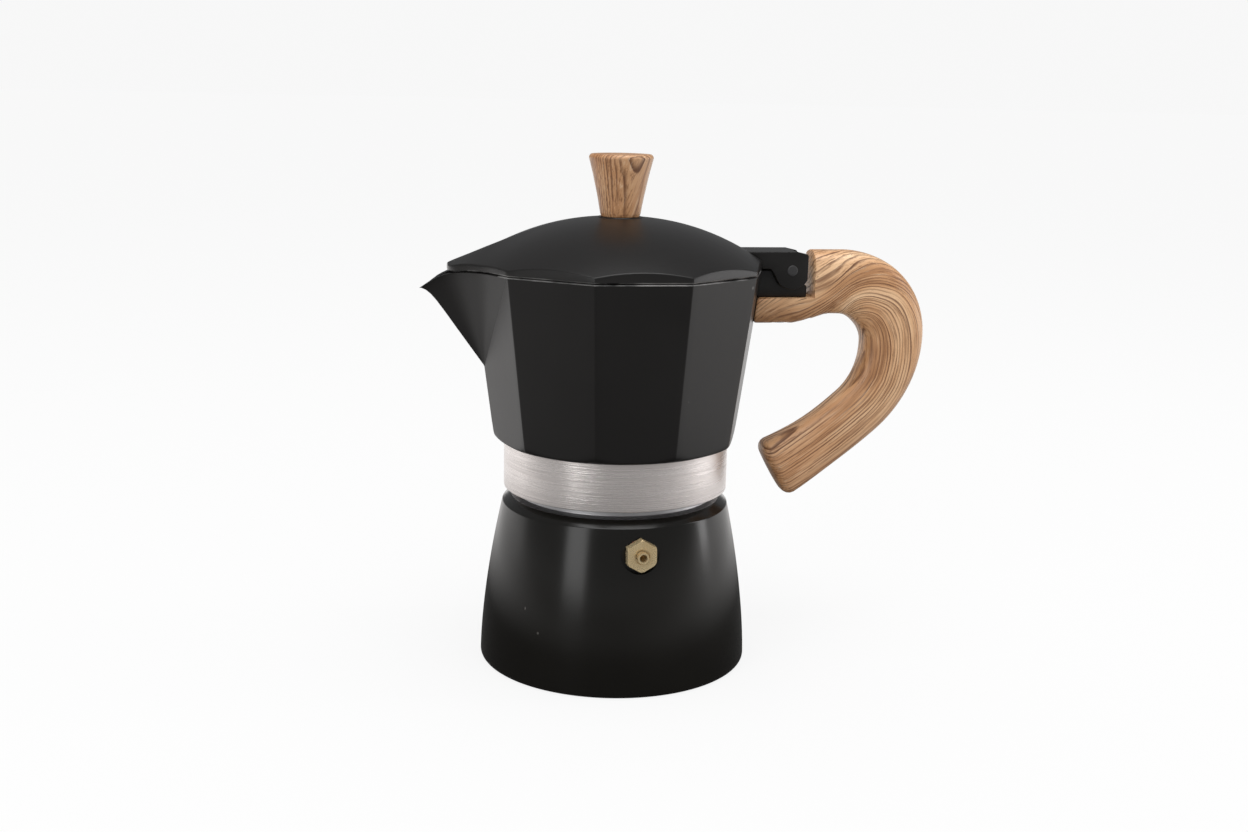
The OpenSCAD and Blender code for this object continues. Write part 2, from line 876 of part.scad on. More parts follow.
// Corners of the beak over the spout, shrunk by inset
function beak_corners(inset) =
    let (corner_x = spout_corner.x + inset,
         corner_y = spout_corner.y - 3 * inset,
         tip_x = -beak_reach + 1.6 * inset,
         tip_y = max(beak_half - inset, 1),
         mid = lip_point(0.42))
    [
        for (side = [-1, 1])
            each [
                [corner_x, side * corner_y, lid_z + 0.1],
                [corner_x, side * corner_y, lid_z + lid_edge_h - 0.3 - inset * 0.5],
                [mid.x + inset, side * (mid.y - inset), lid_z - 0.1],
                [mid.x + inset, side * (mid.y - inset), lid_z + beak_end_h - 0.2 - inset],
                [tip_x, side * tip_y, lid_z - beak_droop],
                [tip_x, side * tip_y, lid_z - beak_droop + beak_end_h - 0.3 - inset]
            ],
        [tip_x, 0, lid_z - beak_droop + beak_end_h - inset],
        [-rim_r * 0.744, 0, dome_z(rim_r * 0.744) - 0.3 - inset]
    ];

// Side profile of an ear, and of the tab above it
module ear_profile() {
    translate([pin_x, pin_z])
    circle(r = ear_r);
    polygon([
        [pin_x, pin_z],
        [pin_x + ear_r, pin_z],
        [pin_x + ear_corner.x, pin_z + ear_corner.y],
        [pin_x + ear_r - 3, pin_z + ear_r - 0.4],
        [pin_x, pin_z + ear_r],
        [tab_x, pin_z + ear_r],
        [tab_x, lid_z],
        [rim_r + 1, lid_z],
        [pin_x - ear_r * cos(35), pin_z - ear_r * sin(35)]
    ]);
}

module lid() {
    inset = collector_wall / side_cos;
    color("#262627")
    difference() {
        union() {
            intersection() {
                rotate_extrude() dome_outline(0, lid_z);
                sided_prism(lid_z, dome_h, lid_r);
            }
            corner_hull(beak_corners(0));
            profile_slab(-ear_out, ear_out) ear_profile();
            // Flat pad under the knob
            ring(dome_top - lid_wall, lid_wall, knob_pad_r);
        }
        // Hollow under the dome, which keeps an even wall
        intersection() {
            rotate_extrude() dome_outline(lid_wall, lid_z - 1);
            sided_prism(lid_z - 1, dome_h, lid_r - inset);
        }
        corner_hull([for (p = beak_corners(1.6)) [p.x, p.y, p.z - (p.z < lid_z + 0.5 ? 3 : 0.8)]]);
        // Underside of the beak, which follows the spout's lips
        profile_slab(-rim_r, rim_r)
        polygon([
            [spout_corner.x + 1, lid_z - 8],
            [spout_corner.x + 1, lid_z],
            for (i = [1 : lip_steps - 2])
                [lip_point(i / lip_steps).x, lip_point(i / lip_steps).z + lid_gap],
            [lip_point((lip_steps - 2) / lip_steps).x, lid_z - 8]
        ]);
        // Flat under the dome for the knob screw's washer
        translate([0, 0, lid_underside - 2])
        cylinder(h = 2, r = knob_pad_r);
        // Room for the lug and its knuckle between the two ears
        pin_cylinder(knuckle_r + knuckle_gap, ear_in);
        profile_slab(-ear_in, ear_in)
        polygon([
            [rim_r + 0.4, lid_z - 20],
            [pin_x + 20, lid_z - 20],
            [pin_x + 20, pin_z + ear_r + 1],
            [pin_x + 1.5, pin_z + ear_r + 1],
            [pin_x + 1.5, pin_z + knuckle_r],
            [pin_x, pin_z],
            [pin_x - knuckle_r, lid_z],
            [rim_r + 0.4, lid_z]
        ]);
        pin_cylinder(pin_r + pin_gap, ear_out + 1);
        // Hole for the knob's screw
        translate([0, 0, dome_top - lid_wall - eps])
        cylinder(h = lid_wall + 2 * eps, r = knob_screw_d / 2 + 0.2);
    }
}

module knob() {
    slope = (knob_top_d - knob_foot_d) / 2 / knob_h;
    top_r = knob_top_d / 2;
    color("#b98a5e")
    difference() {
        translate([0, 0, knob_z])
        rotate_extrude()
        polygon([
            [0, 0],
            [knob_foot_d / 2, 0],
            [top_r - slope * knob_round, knob_h - knob_round],
            for (i = [1 : 5])
                [top_r - knob_round + knob_round * cos(i * 18), knob_h - knob_round + knob_round * sin(i * 18)],
            [0, knob_h]
        ]);
        translate([0, 0, knob_z - eps])
        cylinder(h = insert_h + 1 + eps, r = knob_screw_d / 2 + 1.2);
    }
}

module knob_insert() {
    color("#c2a165")
    ring(knob_z, insert_h, knob_screw_d / 2 + 1.2, knob_screw_d / 2);
}

module knob_screw() {
    head_z0 = lid_underside - washer_t - screw_head_h;
    color("#9a9c9f")
    difference() {
        union() {
            translate([0, 0, head_z0])
            cylinder(h = screw_head_h, r = knob_screw_d / 2 + 1.9);
            translate([0, 0, head_z0])
            cylinder(h = knob_z + insert_h - 1 - head_z0, d = knob_screw_d);
        }
        for (turn = [0, 90])
            rotate([0, 0, turn])
            translate([-2, -0.4, head_z0 - eps])
            cube([4, 0.8, 1.2]);
    }
}

module knob_washer() {
    color("#a9abae")
    ring(lid_underside - washer_t, washer_t, knob_screw_d / 2 + 3, knob_screw_d / 2 + 0.2);
}

boiler();
valve_body();
valve_washer();
valve_retainer();
valve_spring();
valve_plunger();
valve_seal();
funnel_basket();
funnel_tube();
funnel_plate();
gasket();
filter_plate();
collector();
hinge_pin();
handle();
handle_screw();
handle_washer();
lid();
knob();
knob_insert();
knob_screw();
knob_washer();
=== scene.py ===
"""A stovetop coffee pot with a faceted collector, a hinged lid and an open handle.

The CAD model is loaded as a fixed frame. Each sub-assembly below is a class
that builds its visible pieces around that frame and dresses them with
procedural finishes. Lengths are in millimetres until they become vertices.
"""

import logging
import math
from dataclasses import dataclass, field
from enum import Enum
from typing import Dict, List, Optional, Sequence, Tuple

import bmesh
import bpy
from mathutils import Matrix, Vector


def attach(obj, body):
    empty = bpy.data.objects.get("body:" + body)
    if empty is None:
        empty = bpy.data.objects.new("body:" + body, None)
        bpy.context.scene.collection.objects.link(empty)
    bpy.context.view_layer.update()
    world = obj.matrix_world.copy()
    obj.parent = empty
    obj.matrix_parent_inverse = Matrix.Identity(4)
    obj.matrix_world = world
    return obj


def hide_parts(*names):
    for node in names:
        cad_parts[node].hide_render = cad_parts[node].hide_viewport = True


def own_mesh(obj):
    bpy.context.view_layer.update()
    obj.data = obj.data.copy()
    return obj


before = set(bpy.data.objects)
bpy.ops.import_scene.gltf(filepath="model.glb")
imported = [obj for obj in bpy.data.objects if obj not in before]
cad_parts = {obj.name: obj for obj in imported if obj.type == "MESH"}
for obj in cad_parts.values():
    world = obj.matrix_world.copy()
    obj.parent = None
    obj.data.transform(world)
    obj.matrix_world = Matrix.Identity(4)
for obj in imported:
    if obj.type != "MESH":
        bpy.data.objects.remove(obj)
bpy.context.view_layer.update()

LOG = logging.getLogger("coffee_pot")

MM = 0.001
FULL_TURN = 2 * math.pi
WELD = 1e-6
SMOOTH_ANGLE = math.radians(30)
FACET_ANGLE = math.radians(9)
BEVEL_ANGLE = math.radians(35)
# Limit on a row's radius that lies outside the pot, so it changes nothing
NO_LIMIT = 200.0
# Place of the hinge pin, (x, z)
PIN = (62.7, 146.2)
WHITE = (1, 1, 1, 1)

BMesh = bmesh.types.BMesh
Material = bpy.types.Material
Socket = bpy.types.NodeSocket
Node = bpy.types.Node
Groups = Dict[str, bpy.types.NodeTree]
Point2 = Tuple[float, float]
Point3 = Tuple[float, float, float]
Colour = Point3
Row = List[Vector]


class Body(Enum):
    """Bodies of the frame that the new pieces ride on."""

    BOILER = "boiler"
    COLLECTOR = "collector"
    LID = "lid"


class Slot(Enum):
    """Material slots of the new pieces."""

    ENAMEL = "black_enamel"
    SHEET = "aluminium_sheet"
    STEEL = "steel"
    WOOD = "wood_print"


# ---- small geometry helpers ------------------------------------------------


def smooth_min(a: float, b: float, soft: float) -> float:
    """Smaller of a and b, rounded off where they are within soft of each other."""
    if soft <= 0 or abs(a - b) >= soft:
        return min(a, b)
    h = 0.5 + 0.5 * (b - a) / soft
    return b * (1 - h) + a * h - soft * h * (1 - h)


def smooth_max(a: float, b: float, soft: float) -> float:
    """Larger of a and b, rounded off where they are within soft of each other."""
    return -smooth_min(-a, -b, soft)


def mix(a: float, b: float, t: float) -> float:
    """Value a share t of the way from a to b."""
    return a + (b - a) * t


def spread(count: int, low: float = 0.0, high: float = 1.0) -> List[float]:
    """Evenly spaced values from low to high, both ends included."""
    return [low + (high - low) * i / (count - 1) for i in range(count)]


def up(z: float) -> Vector:
    """Vector straight up the pot's axis."""
    return Vector((0, 0, z))


def polar(a: float) -> Vector:
    """Level unit vector at an angle round the pot's axis."""
    return Vector((math.cos(a), math.sin(a), 0))


def outward(p: Vector) -> Vector:
    """Level unit vector from the pot's axis towards a point."""
    return Vector((p.x, p.y, 0)).normalized()


def ray(a: float) -> Vector:
    """Unit vector in the handle's plane, a degrees from straight up."""
    return Vector((math.sin(math.radians(a)), 0, math.cos(math.radians(a))))


def arc_points(x: float, z: float, r: float, count: int, low: float, high: float) -> List[Point2]:
    """Points on an arc of radius r about (x, z), between two angles in degrees."""
    return [
        (x + r * math.cos(a), z + r * math.sin(a))
        for a in spread(count, math.radians(low), math.radians(high))
    ]


def interpolate(table: Sequence[Point2], x: float) -> float:
    """Smoothly interpolated value of a short table of (x, y) pairs.

    Args:
        table: Pairs in rising order of x.
        x: Where to read the table; it is clamped to the table's ends.

    Returns:
        The value on a Catmull-Rom curve through the pairs.
    """
    if x <= table[0][0]:
        return table[0][1]
    if x >= table[-1][0]:
        return table[-1][1]
    i = max(k for k in range(len(table) - 1) if table[k][0] <= x)
    (x0, y0), (x1, y1) = table[i], table[i + 1]
    before = table[max(i - 1, 0)]
    after = table[min(i + 2, len(table) - 1)]
    slope0 = (y1 - before[1]) / (x1 - before[0])
    slope1 = (after[1] - y0) / (after[0] - x0)
    t, w = (x - x0) / (x1 - x0), x1 - x0
    t2, t3 = t * t, t * t * t
    return (
        y0 * (2 * t3 - 3 * t2 + 1)
        + slope0 * w * (t3 - 2 * t2 + t)
        + y1 * (3 * t2 - 2 * t3)
        + slope1 * w * (t3 - t2)
    )


def curve_through(points: Sequence[Vector], count: int) -> Row:
    """Points at equal parameter steps on a smooth curve through the given points.

    Args:
        points: Points that the curve passes through.
        count: How many points to return, both ends included.

    Returns:
        The sampled points.
    """
    lengths = [0.0]
    for a, b in zip(points, points[1:]):
        lengths.append(lengths[-1] + (b - a).length)
    axes = [[(s, p[k]) for s, p in zip(lengths, points)] for k in range(3)]
    return [
        Vector([interpolate(axis, s) for axis in axes]) for s in spread(count, 0, lengths[-1])
    ]


def rounded_outline(corners: Sequence[Point3], steps: int = 4) -> List[Point2]:
    """Open outline with each corner replaced by an arc.

    Args:
        corners: (x, y, radius) of each corner; a radius of 0 keeps it sharp.
        steps: Number of segments in each arc.

    Returns:
        The outline's points.
    """
    out: List[Point2] = []
    last = len(corners) - 1
    for i, (x, y, radius) in enumerate(corners):
        if radius <= 0 or i in (0, last):
            out.append((x, y))
            continue
        here = Vector((x, y))
        back = Vector(corners[i - 1][:2]) - here
        ahead = Vector(corners[i + 1][:2]) - here
        reach = min(back.length, ahead.length) * 0.5
        cut = min(radius / max(math.tan(back.angle(ahead) / 2), 1e-4), reach)
        start = here + back.normalized() * cut
        end = here + ahead.normalized() * cut
        for t in spread(steps + 1):
            p = start * (1 - t) ** 2 + here * 2 * t * (1 - t) + end * t * t
            out.append((p.x, p.y))
    return out


# ---- mesh helpers ----------------------------------------------------------


def clean(bm: BMesh, weld: float = WELD) -> None:
    """Merges doubles, removes collapsed faces and turns the normals outwards."""
    bmesh.ops.remove_doubles(bm, verts=bm.verts, dist=weld)
    bmesh.ops.dissolve_degenerate(bm, dist=weld, edges=bm.edges)
    bmesh.ops.recalc_face_normals(bm, faces=bm.faces)


def only(kind: type, geometry: Sequence[object]) -> List[object]:
    """Those parts of an operator's result that are of one kind."""
    return [g for g in geometry if isinstance(g, kind)]


def spin(bm: BMesh, geom: Sequence[object], rise: float, angle: float, steps: int, merge: bool) -> None:
    """Spins geometry about the pot's axis.

    Args:
        bm: The mesh it belongs to.
        geom: What to spin.
        rise: Height gained in each step, in metres.
        angle: Whole angle of the spin.
        steps: Number of steps.
        merge: Joins the last step to the first.
    """
    bmesh.ops.spin(
        bm, geom=geom, cent=(0, 0, 0), axis=(0, 0, 1), dvec=(0, 0, rise), angle=angle,
        steps=steps, use_merge=merge, use_duplicate=False,
    )
    clean(bm)


def lathe(outline: Sequence[Point2], steps: int = 128, closed: bool = True) -> BMesh:
    """Turned solid about the pot's axis.

    Args:
        outline: (radius, height) points in millimetres.
        steps: Number of segments round the axis.
        closed: Joins the outline's last point to its first.

    Returns:
        The turned mesh.
    """
    bm = bmesh.new()
    verts = [bm.verts.new((r * MM, 0, z * MM)) for r, z in outline]
    pairs = list(zip(verts, verts[1:]))
    if closed:
        pairs.append((verts[-1], verts[0]))
    edges = [bm.edges.new(pair) for pair in pairs]
    spin(bm, verts + edges, 0, FULL_TURN, steps, merge=True)
    return bm


def helix_ridge(section: Sequence[Point2], pitch: float, turns: float, steps_per_turn: int) -> BMesh:
    """Thread ridge with closed ends, swept along a helix about the pot's axis.

    Args:
        section: (radius, height) corners of the ridge at its lower end.
        pitch: Rise in one turn, in millimetres.
        turns: Number of turns.
        steps_per_turn: Number of segments in one turn.

    Returns:
        The ridge's mesh.
    """
    bm = bmesh.new()
    face = bm.faces.new([bm.verts.new((r * MM, 0, z * MM)) for r, z in section])
    # The first face stays behind as the ridge's lower end, and its copy is swept
    swept = bmesh.ops.duplicate(bm, geom=[*face.verts, *face.edges, face])["geom"]
    rise = pitch * MM / steps_per_turn
    steps = int(turns * steps_per_turn)
    spin(bm, only(bmesh.types.BMFace, swept), rise, turns * FULL_TURN, steps, merge=False)
    return bm


def sweep_rows(rows: Sequence[Row]) -> BMesh:
    """Closed skin over rows of points: the first row is extruded through the others.

    Args:
        rows: Closed rows of points in millimetres, all with the same count.

    Returns:
        The skinned mesh, with a face on its first and its last row.
    """
    bm = bmesh.new()
    loop = [bm.verts.new(p * MM) for p in rows[0]]
    edges = [bm.edges.new(pair) for pair in zip(loop, loop[1:] + loop[:1])]
    place = {v: i for i, v in enumerate(loop)}
    bm.faces.new(loop)
    for row in rows[1:]:
        made = bmesh.ops.extrude_edge_only(bm, edges=edges)["geom"]
        fresh = set(only(bmesh.types.BMVert, made))
        edges = [e for e in only(bmesh.types.BMEdge, made) if fresh.issuperset(e.verts)]
        moved: Dict[bmesh.types.BMVert, int] = {}
        for v in fresh:
            for e in v.link_edges:
                old = e.other_vert(v)
                if old in place:
                    moved[v] = place[old]
        for v, i in moved.items():
            v.co = row[i] * MM
        place = moved
    bm.faces.new(sorted(place, key=lambda v: place[v]))
    return bm


def slab(outline: Sequence[Point2], y0: float, y1: float, bevel: float) -> BMesh:
    """Side profile extruded across the pot, with bevelled edges.

    Args:
        outline: (x, z) corners of the profile in millimetres.
        y0: Near side.
        y1: Far side.
        bevel: Width of the bevel on every sharp edge, or 0 for none.

    Returns:
        The slab's mesh.
    """
    bm = bmesh.new()
    face = bm.faces.new([bm.verts.new((x * MM, y0 * MM, z * MM)) for x, z in outline])
    made = bmesh.ops.extrude_face_region(bm, geom=[face])["geom"]
    far = only(bmesh.types.BMVert, made)
    bmesh.ops.translate(bm, verts=far, vec=(0, (y1 - y0) * MM, 0))
    bmesh.ops.recalc_face_normals(bm, faces=bm.faces)
    if bevel > 0:
        sharp = [e for e in bm.edges if e.calc_face_angle(0) > BEVEL_ANGLE]
        bmesh.ops.bevel(
            bm, geom=sharp, offset=bevel * MM, offset_type="OFFSET", segments=3, profile=0.5,
            affect="EDGES", clamp_overlap=True, material=-1,
        )
    clean(bm)
    return bm


def mesh_from(name: str, bm: BMesh) -> bpy.types.Mesh:
    """Turns a bmesh into a mesh and frees it."""
    mesh = bpy.data.meshes.new(name)
    bm.to_mesh(mesh)
    bm.free()
    return mesh


def put(name: str, data: bpy.types.ID) -> bpy.types.Object:
    """Adds an object to the scene around its data."""
    obj = bpy.data.objects.new(name, data)
    bpy.context.scene.collection.objects.link(obj)
    return obj


def to_object(
    name: str,
    bm: BMesh,
    materials: Sequence[Material],
    body: Body,
    stands_for: Sequence[str] = (),
    smooth: float = SMOOTH_ANGLE,
) -> bpy.types.Object:
    """Turns a bmesh into a finished piece that rides on its body.

    Args:
        name: The piece's name.
        bm: Its mesh; it is freed here.
        materials: The piece's materials, in slot order.
        body: The body it moves with.
        stands_for: CAD nodes that it replaces.
        smooth: Edges sharper than this angle stay sharp.

    Returns:
        The new object.
    """
    mesh = mesh_from(name, bm)
    for material in materials:
        mesh.materials.append(material)
    mesh.shade_smooth()
    mesh.set_sharp_from_angle(angle=smooth)
    obj = put(name, mesh)
    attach(obj, body.value)
    if stands_for:
        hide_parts(*stands_for)
    LOG.info("piece %s: %d faces, rides on %s", name, len(mesh.polygons), body.value)
    return obj


def cut_away(bm: BMesh, cutters: Sequence[BMesh]) -> BMesh:
    """Subtracts closed cutter meshes from a closed mesh.

    Args:
        bm: The mesh to cut; it is freed here.
        cutters: What to take away; they are freed here.

    Returns:
        The cut mesh.
    """
    target = put("cut_target", mesh_from("cut_target", bm))
    tools: List[bpy.types.Object] = []
    for i, cutter in enumerate(cutters):
        tool = put(f"cutter_{i}", mesh_from(f"cutter_{i}", cutter))
        modifier = target.modifiers.new(f"cut_{i}", "BOOLEAN")
        modifier.operation = "DIFFERENCE"
        modifier.solver = "EXACT"
        modifier.object = tool
        tools.append(tool)
    evaluated = target.evaluated_get(bpy.context.evaluated_depsgraph_get())
    result = bmesh.new()
    result.from_mesh(evaluated.to_mesh())
    evaluated.to_mesh_clear()
    for obj in [target, *tools]:
        mesh = obj.data
        bpy.data.objects.remove(obj)
        bpy.data.meshes.remove(mesh)
    return result


def cylinder_along(start: Vector, direction: Vector, length: float, radius: float) -> BMesh:
    """Closed cylinder from a start point along a direction, in millimetres."""
    bm = bmesh.new()
    bmesh.ops.create_cone(
        bm, cap_ends=True, cap_tris=False, segments=64, radius1=radius * MM, radius2=radius * MM,
        depth=length * MM,
    )
    turn = direction.to_track_quat("Z", "Y").to_matrix().to_4x4()
    middle = (start + direction.normalized() * length / 2) * MM
    bmesh.ops.transform(bm, matrix=Matrix.Translation(middle) @ turn, verts=bm.verts)
    return bm


# ---- node helpers ----------------------------------------------------------


class Nodes:
    """Short way to add and join the nodes of one tree."""

    def __init__(self, tree: bpy.types.NodeTree) -> None:
        """Starts on a tree."""
        self.tree = tree

    def feed(self, node: Node, values: Dict[object, object]) -> None:
        """Sets or links a node's inputs, given by name or index."""
        for key, value in values.items():
            if isinstance(value, Socket):
                self.tree.links.new(value, node.inputs[key])
            else:
                node.inputs[key].default_value = value

    def add(self, kind: str, **settings: object) -> Node:
        """Adds a node and sets its properties; socket values go in `inputs`.

        Args:
            kind: The node's bl_idname.
            **settings: Properties, or inputs={name or index: value or socket}.

        Returns:
            The new node.
        """
        node = self.tree.nodes.new(kind)
        values = settings.pop("inputs", {})
        for key, value in settings.items():
            setattr(node, key, value)
        self.feed(node, values)
        return node

    def math(self, operation: str, a: object, b: object = 0.0) -> Socket:
        """Output of a Math node on a and b."""
        return self.add("ShaderNodeMath", operation=operation, inputs={0: a, 1: b}).outputs[0]

    def times(self, a: object, b: object) -> Socket:
        """Product of a and b."""
        return self.math("MULTIPLY", a, b)

    def plus(self, a: object, b: object) -> Socket:
        """Sum of a and b."""
        return self.math("ADD", a, b)

    def here(self) -> Socket:
        """Place on the object, in metres."""
        return self.add("ShaderNodeTexCoord").outputs["Object"]

    def ramp(self, value: Socket, stops: Sequence[Tuple[float, Colour]]) -> Socket:
        """Colour ramp over a value with the given (position, colour) stops."""
        node = self.add("ShaderNodeValToRGB", inputs={0: value})
        elements = node.color_ramp.elements
        while len(elements) < len(stops):
            elements.new(0.5)
        for element, (position, colour) in zip(elements, stops):
            element.position = position
            element.color = (*colour, 1)
        return node.outputs[0]

    def remap(
        self, value: Socket, low: float, high: float, to_low: float, to_high: float, smooth: bool = False
    ) -> Socket:
        """Value mapped from one range to another, clamped, and eased where smooth."""
        node = self.add(
            "ShaderNodeMapRange",
            interpolation_type="SMOOTHSTEP" if smooth else "LINEAR",
            inputs={0: value, 1: low, 2: high, 3: to_low, 4: to_high},
        )
        return node.outputs[0]

    def blend(self, factor: object, a: object, b: object) -> Socket:
        """Colour mix of a and b, each a socket or a plain colour."""
        first, second = (v if isinstance(v, Socket) else (*v, 1) for v in (a, b))
        node = self.add("ShaderNodeMix", data_type="RGBA", inputs={0: factor, 6: first, 7: second})
        return node.outputs[2]

    def noise(self, vector: Socket, scale: float, detail: float = 3.0, roughness: float = 0.5) -> Socket:
        """Factor of a Noise texture."""
        values = {"Vector": vector, "Scale": scale, "Detail": detail, "Roughness": roughness}
        return self.add("ShaderNodeTexNoise", inputs=values).outputs["Fac"]

    def stretch(self, vector: Socket, scale: Point3, turn: Point3 = (0, 0, 0)) -> Socket:
        """Vector scaled and turned by a Mapping node."""
        values = {"Vector": vector, "Scale": scale, "Rotation": turn}
        return self.add("ShaderNodeMapping", inputs=values).outputs[0]

    def bump(self, strength: object, distance: float, height: Socket) -> Socket:
        """Normal of a Bump node."""
        values = {"Strength": strength, "Distance": distance, "Height": height}
        return self.add("ShaderNodeBump", inputs=values).outputs[0]


def new_group(name: str, inputs: Sequence[str], outputs: Sequence[str]) -> Tuple[Nodes, Node, Node]:
    """Starts a shader node group; Vector and Color sockets are told by their names.

    Args:
        name: The group's name.
        inputs: Names of the inputs.
        outputs: Names of the outputs.

    Returns:
        The tree's helper, its input node and its output node.
    """
    kinds = {"Vector": "NodeSocketVector", "Normal": "NodeSocketVector", "Color": "NodeSocketColor"}
    tree = bpy.data.node_groups.new(name, "ShaderNodeTree")
    for way, labels in (("INPUT", inputs), ("OUTPUT", outputs)):
        for label in labels:
            kind = kinds.get(label, "NodeSocketFloat")
            tree.interface.new_socket(name=label, in_out=way, socket_type=kind)
    nodes = Nodes(tree)
    return nodes, nodes.add("NodeGroupInput"), nodes.add("NodeGroupOutput")


def cast_skin_group() -> bpy.types.NodeTree:
    """Group for the faint unevenness and dust of an enamelled casting.

    Returns:
        A tree with Vector, Scale and Depth in, and Normal, Cloud and Dust out.
    """
    n, given, result = new_group("cast_skin", ["Vector", "Scale", "Depth"], ["Normal", "Cloud", "Dust"])
    scaled = n.add(
        "ShaderNodeVectorMath", operation="SCALE", inputs={0: given.outputs[0], "Scale": given.outputs[1]}
    ).outputs[0]
    peel = n.noise(scaled, 420, 2, 0.55)
    broad = n.noise(scaled, 28, 2, 0.5)
    height = n.plus(n.times(peel, 0.35), n.times(broad, 1.6))
    cells = n.add(
        "ShaderNodeTexVoronoi", feature="F1", inputs={"Vector": scaled, "Scale": 95.0, "Randomness": 1.0}
    )
    speck = n.remap(cells.outputs["Distance"], 0.03, 0.075, 1, 0)
    chance = n.math("GREATER_THAN", n.noise(scaled, 60, 1), 0.64)
    bump = n.bump(given.outputs[2], 0.0002, height)
    n.feed(result, {0: bump, 1: n.noise(scaled, 14, 3, 0.6), 2: n.times(speck, chance)})
    return n.tree


def turned_marks_group() -> bpy.types.NodeTree:
    """Group for the fine rings that a cutting tool leaves round the pot's axis.

    Returns:
        A tree with Vector and Depth in, and Normal and Streak out.
    """
    n, given, result = new_group("turned_marks", ["Vector", "Depth"], ["Normal", "Streak"])
    fine = n.noise(n.stretch(given.outputs[0], (30, 30, 5200)), 1, 3, 0.6)
    wide = n.noise(n.stretch(given.outputs[0], (14, 14, 900)), 1, 2, 0.5)
    height = n.plus(fine, n.times(wide, 0.8))
    bump = n.bump(given.outputs[1], 0.00008, height)
    n.feed(result, {0: bump, 1: n.times(n.plus(fine, wide), 0.5)})
    return n.tree


def grain_group() -> bpy.types.NodeTree:
    """Group for the printed wood grain, drawn in a space whose X runs along it.

    Returns:
        A tree with Vector, Wander, Knot and Lines in, and Color and Height out.
    """
    n, given, result = new_group("printed_grain", ["Vector", "Wander", "Knot", "Lines"], ["Color", "Height"])
    along, amount, knot, lines = (given.outputs[i] for i in range(4))
    x, y, z = n.add("ShaderNodeSeparateXYZ", inputs={0: along}).outputs
    # Slow wander that bends the lines as they run, calmer further along
    drift = n.noise(n.stretch(along, (24, 60, 60)), 1, 2, 0.5)
    broad = n.noise(n.stretch(along, (9, 32, 32)), 1, 1, 0.4)
    calm = n.remap(x, 0.015, 0.05, 1, 0.22)
    wander = n.times(n.plus(drift, n.times(broad, 1.2)), amount)
    shift = n.times(n.times(wander, calm), 0.0085)
    # One knot, round which the lines close
    reach = n.add(
        "ShaderNodeVectorMath", operation="DISTANCE",
        inputs={0: n.stretch(along, (0.8, 1, 0.5)), 1: (-0.0055, -0.001, -0.004)},
    ).outputs["Value"]
    swell = n.remap(reach, 0.0, 0.024, 0.0125, 0.0, smooth=True)
    shift = n.plus(shift, n.times(swell, knot))
    across = n.plus(y, n.plus(shift, n.times(z, 0.35)))
    bent = n.add("ShaderNodeCombineXYZ", inputs={0: x, 1: across, 2: z}).outputs[0]
    # Growth rings: pale early wood that darkens to a thin late line
    jitter = n.noise(n.stretch(bent, (14, 210, 90)), 1, 2, 0.5)
    saw = n.math("FRACT", n.plus(n.times(across, n.times(lines, 800)), n.times(jitter, 2.4)))
    late = n.remap(saw, 0.44, 0.88, 0.0, 1.0, smooth=True)
    line = n.times(late, n.remap(saw, 0.93, 1.0, 1, 0))
    presence = n.remap(n.noise(n.stretch(bent, (22, 420, 200)), 1, 3, 0.6), 0.38, 0.58, 0.2, 1.0)
    line = n.times(line, presence)
    fine = n.noise(n.stretch(bent, (45, 1900, 900)), 1, 3, 0.65)
    pores = n.noise(n.stretch(bent, (170, 2600, 1800)), 1, 2, 0.6)
    pore = n.remap(pores, 0.27, 0.34, 1, 0)
    # Tones, from the clouds of the print, then darker further along the grain's X, up to its dark lines and
    # pores
    base = n.ramp(
        n.noise(n.stretch(bent, (18, 110, 60)), 1, 3, 0.55),
        [(0.30, (0.38, 0.180, 0.074)), (0.43, (0.56, 0.305, 0.148)), (0.55, (0.68, 0.42, 0.232)),
         (0.72, (0.80, 0.56, 0.350))],
    )
    for factor, tone in (
        (n.remap(x, 0.03, 0.085, 0, 0.42), (0.36, 0.16, 0.065)),
        (n.times(line, 0.95), (0.120, 0.046, 0.018)),
        (n.remap(fine, 0.35, 0.48, 0.75, 0), (0.19, 0.082, 0.034)),
        (n.remap(fine, 0.58, 0.72, 0, 0.4), (0.83, 0.65, 0.46)),
        (n.times(pore, 0.75), (0.10, 0.045, 0.02)),
    ):
        base = n.blend(factor, base, tone)
    height = n.math("SUBTRACT", n.times(fine, 0.5), n.plus(line, n.times(pore, 0.5)))
    n.feed(result, {0: base, 1: height})
    return n.tree


# ---- finishes --------------------------------------------------------------


def new_material(name: str) -> Tuple[Material, Nodes, Node]:
    """Starts a material and returns it with its node helper and its shader."""
    material = bpy.data.materials.new(name)
    material.use_nodes = True
    tree = material.node_tree
    shader = next(node for node in tree.nodes if node.type == "BSDF_PRINCIPLED")
    return material, Nodes(tree), shader


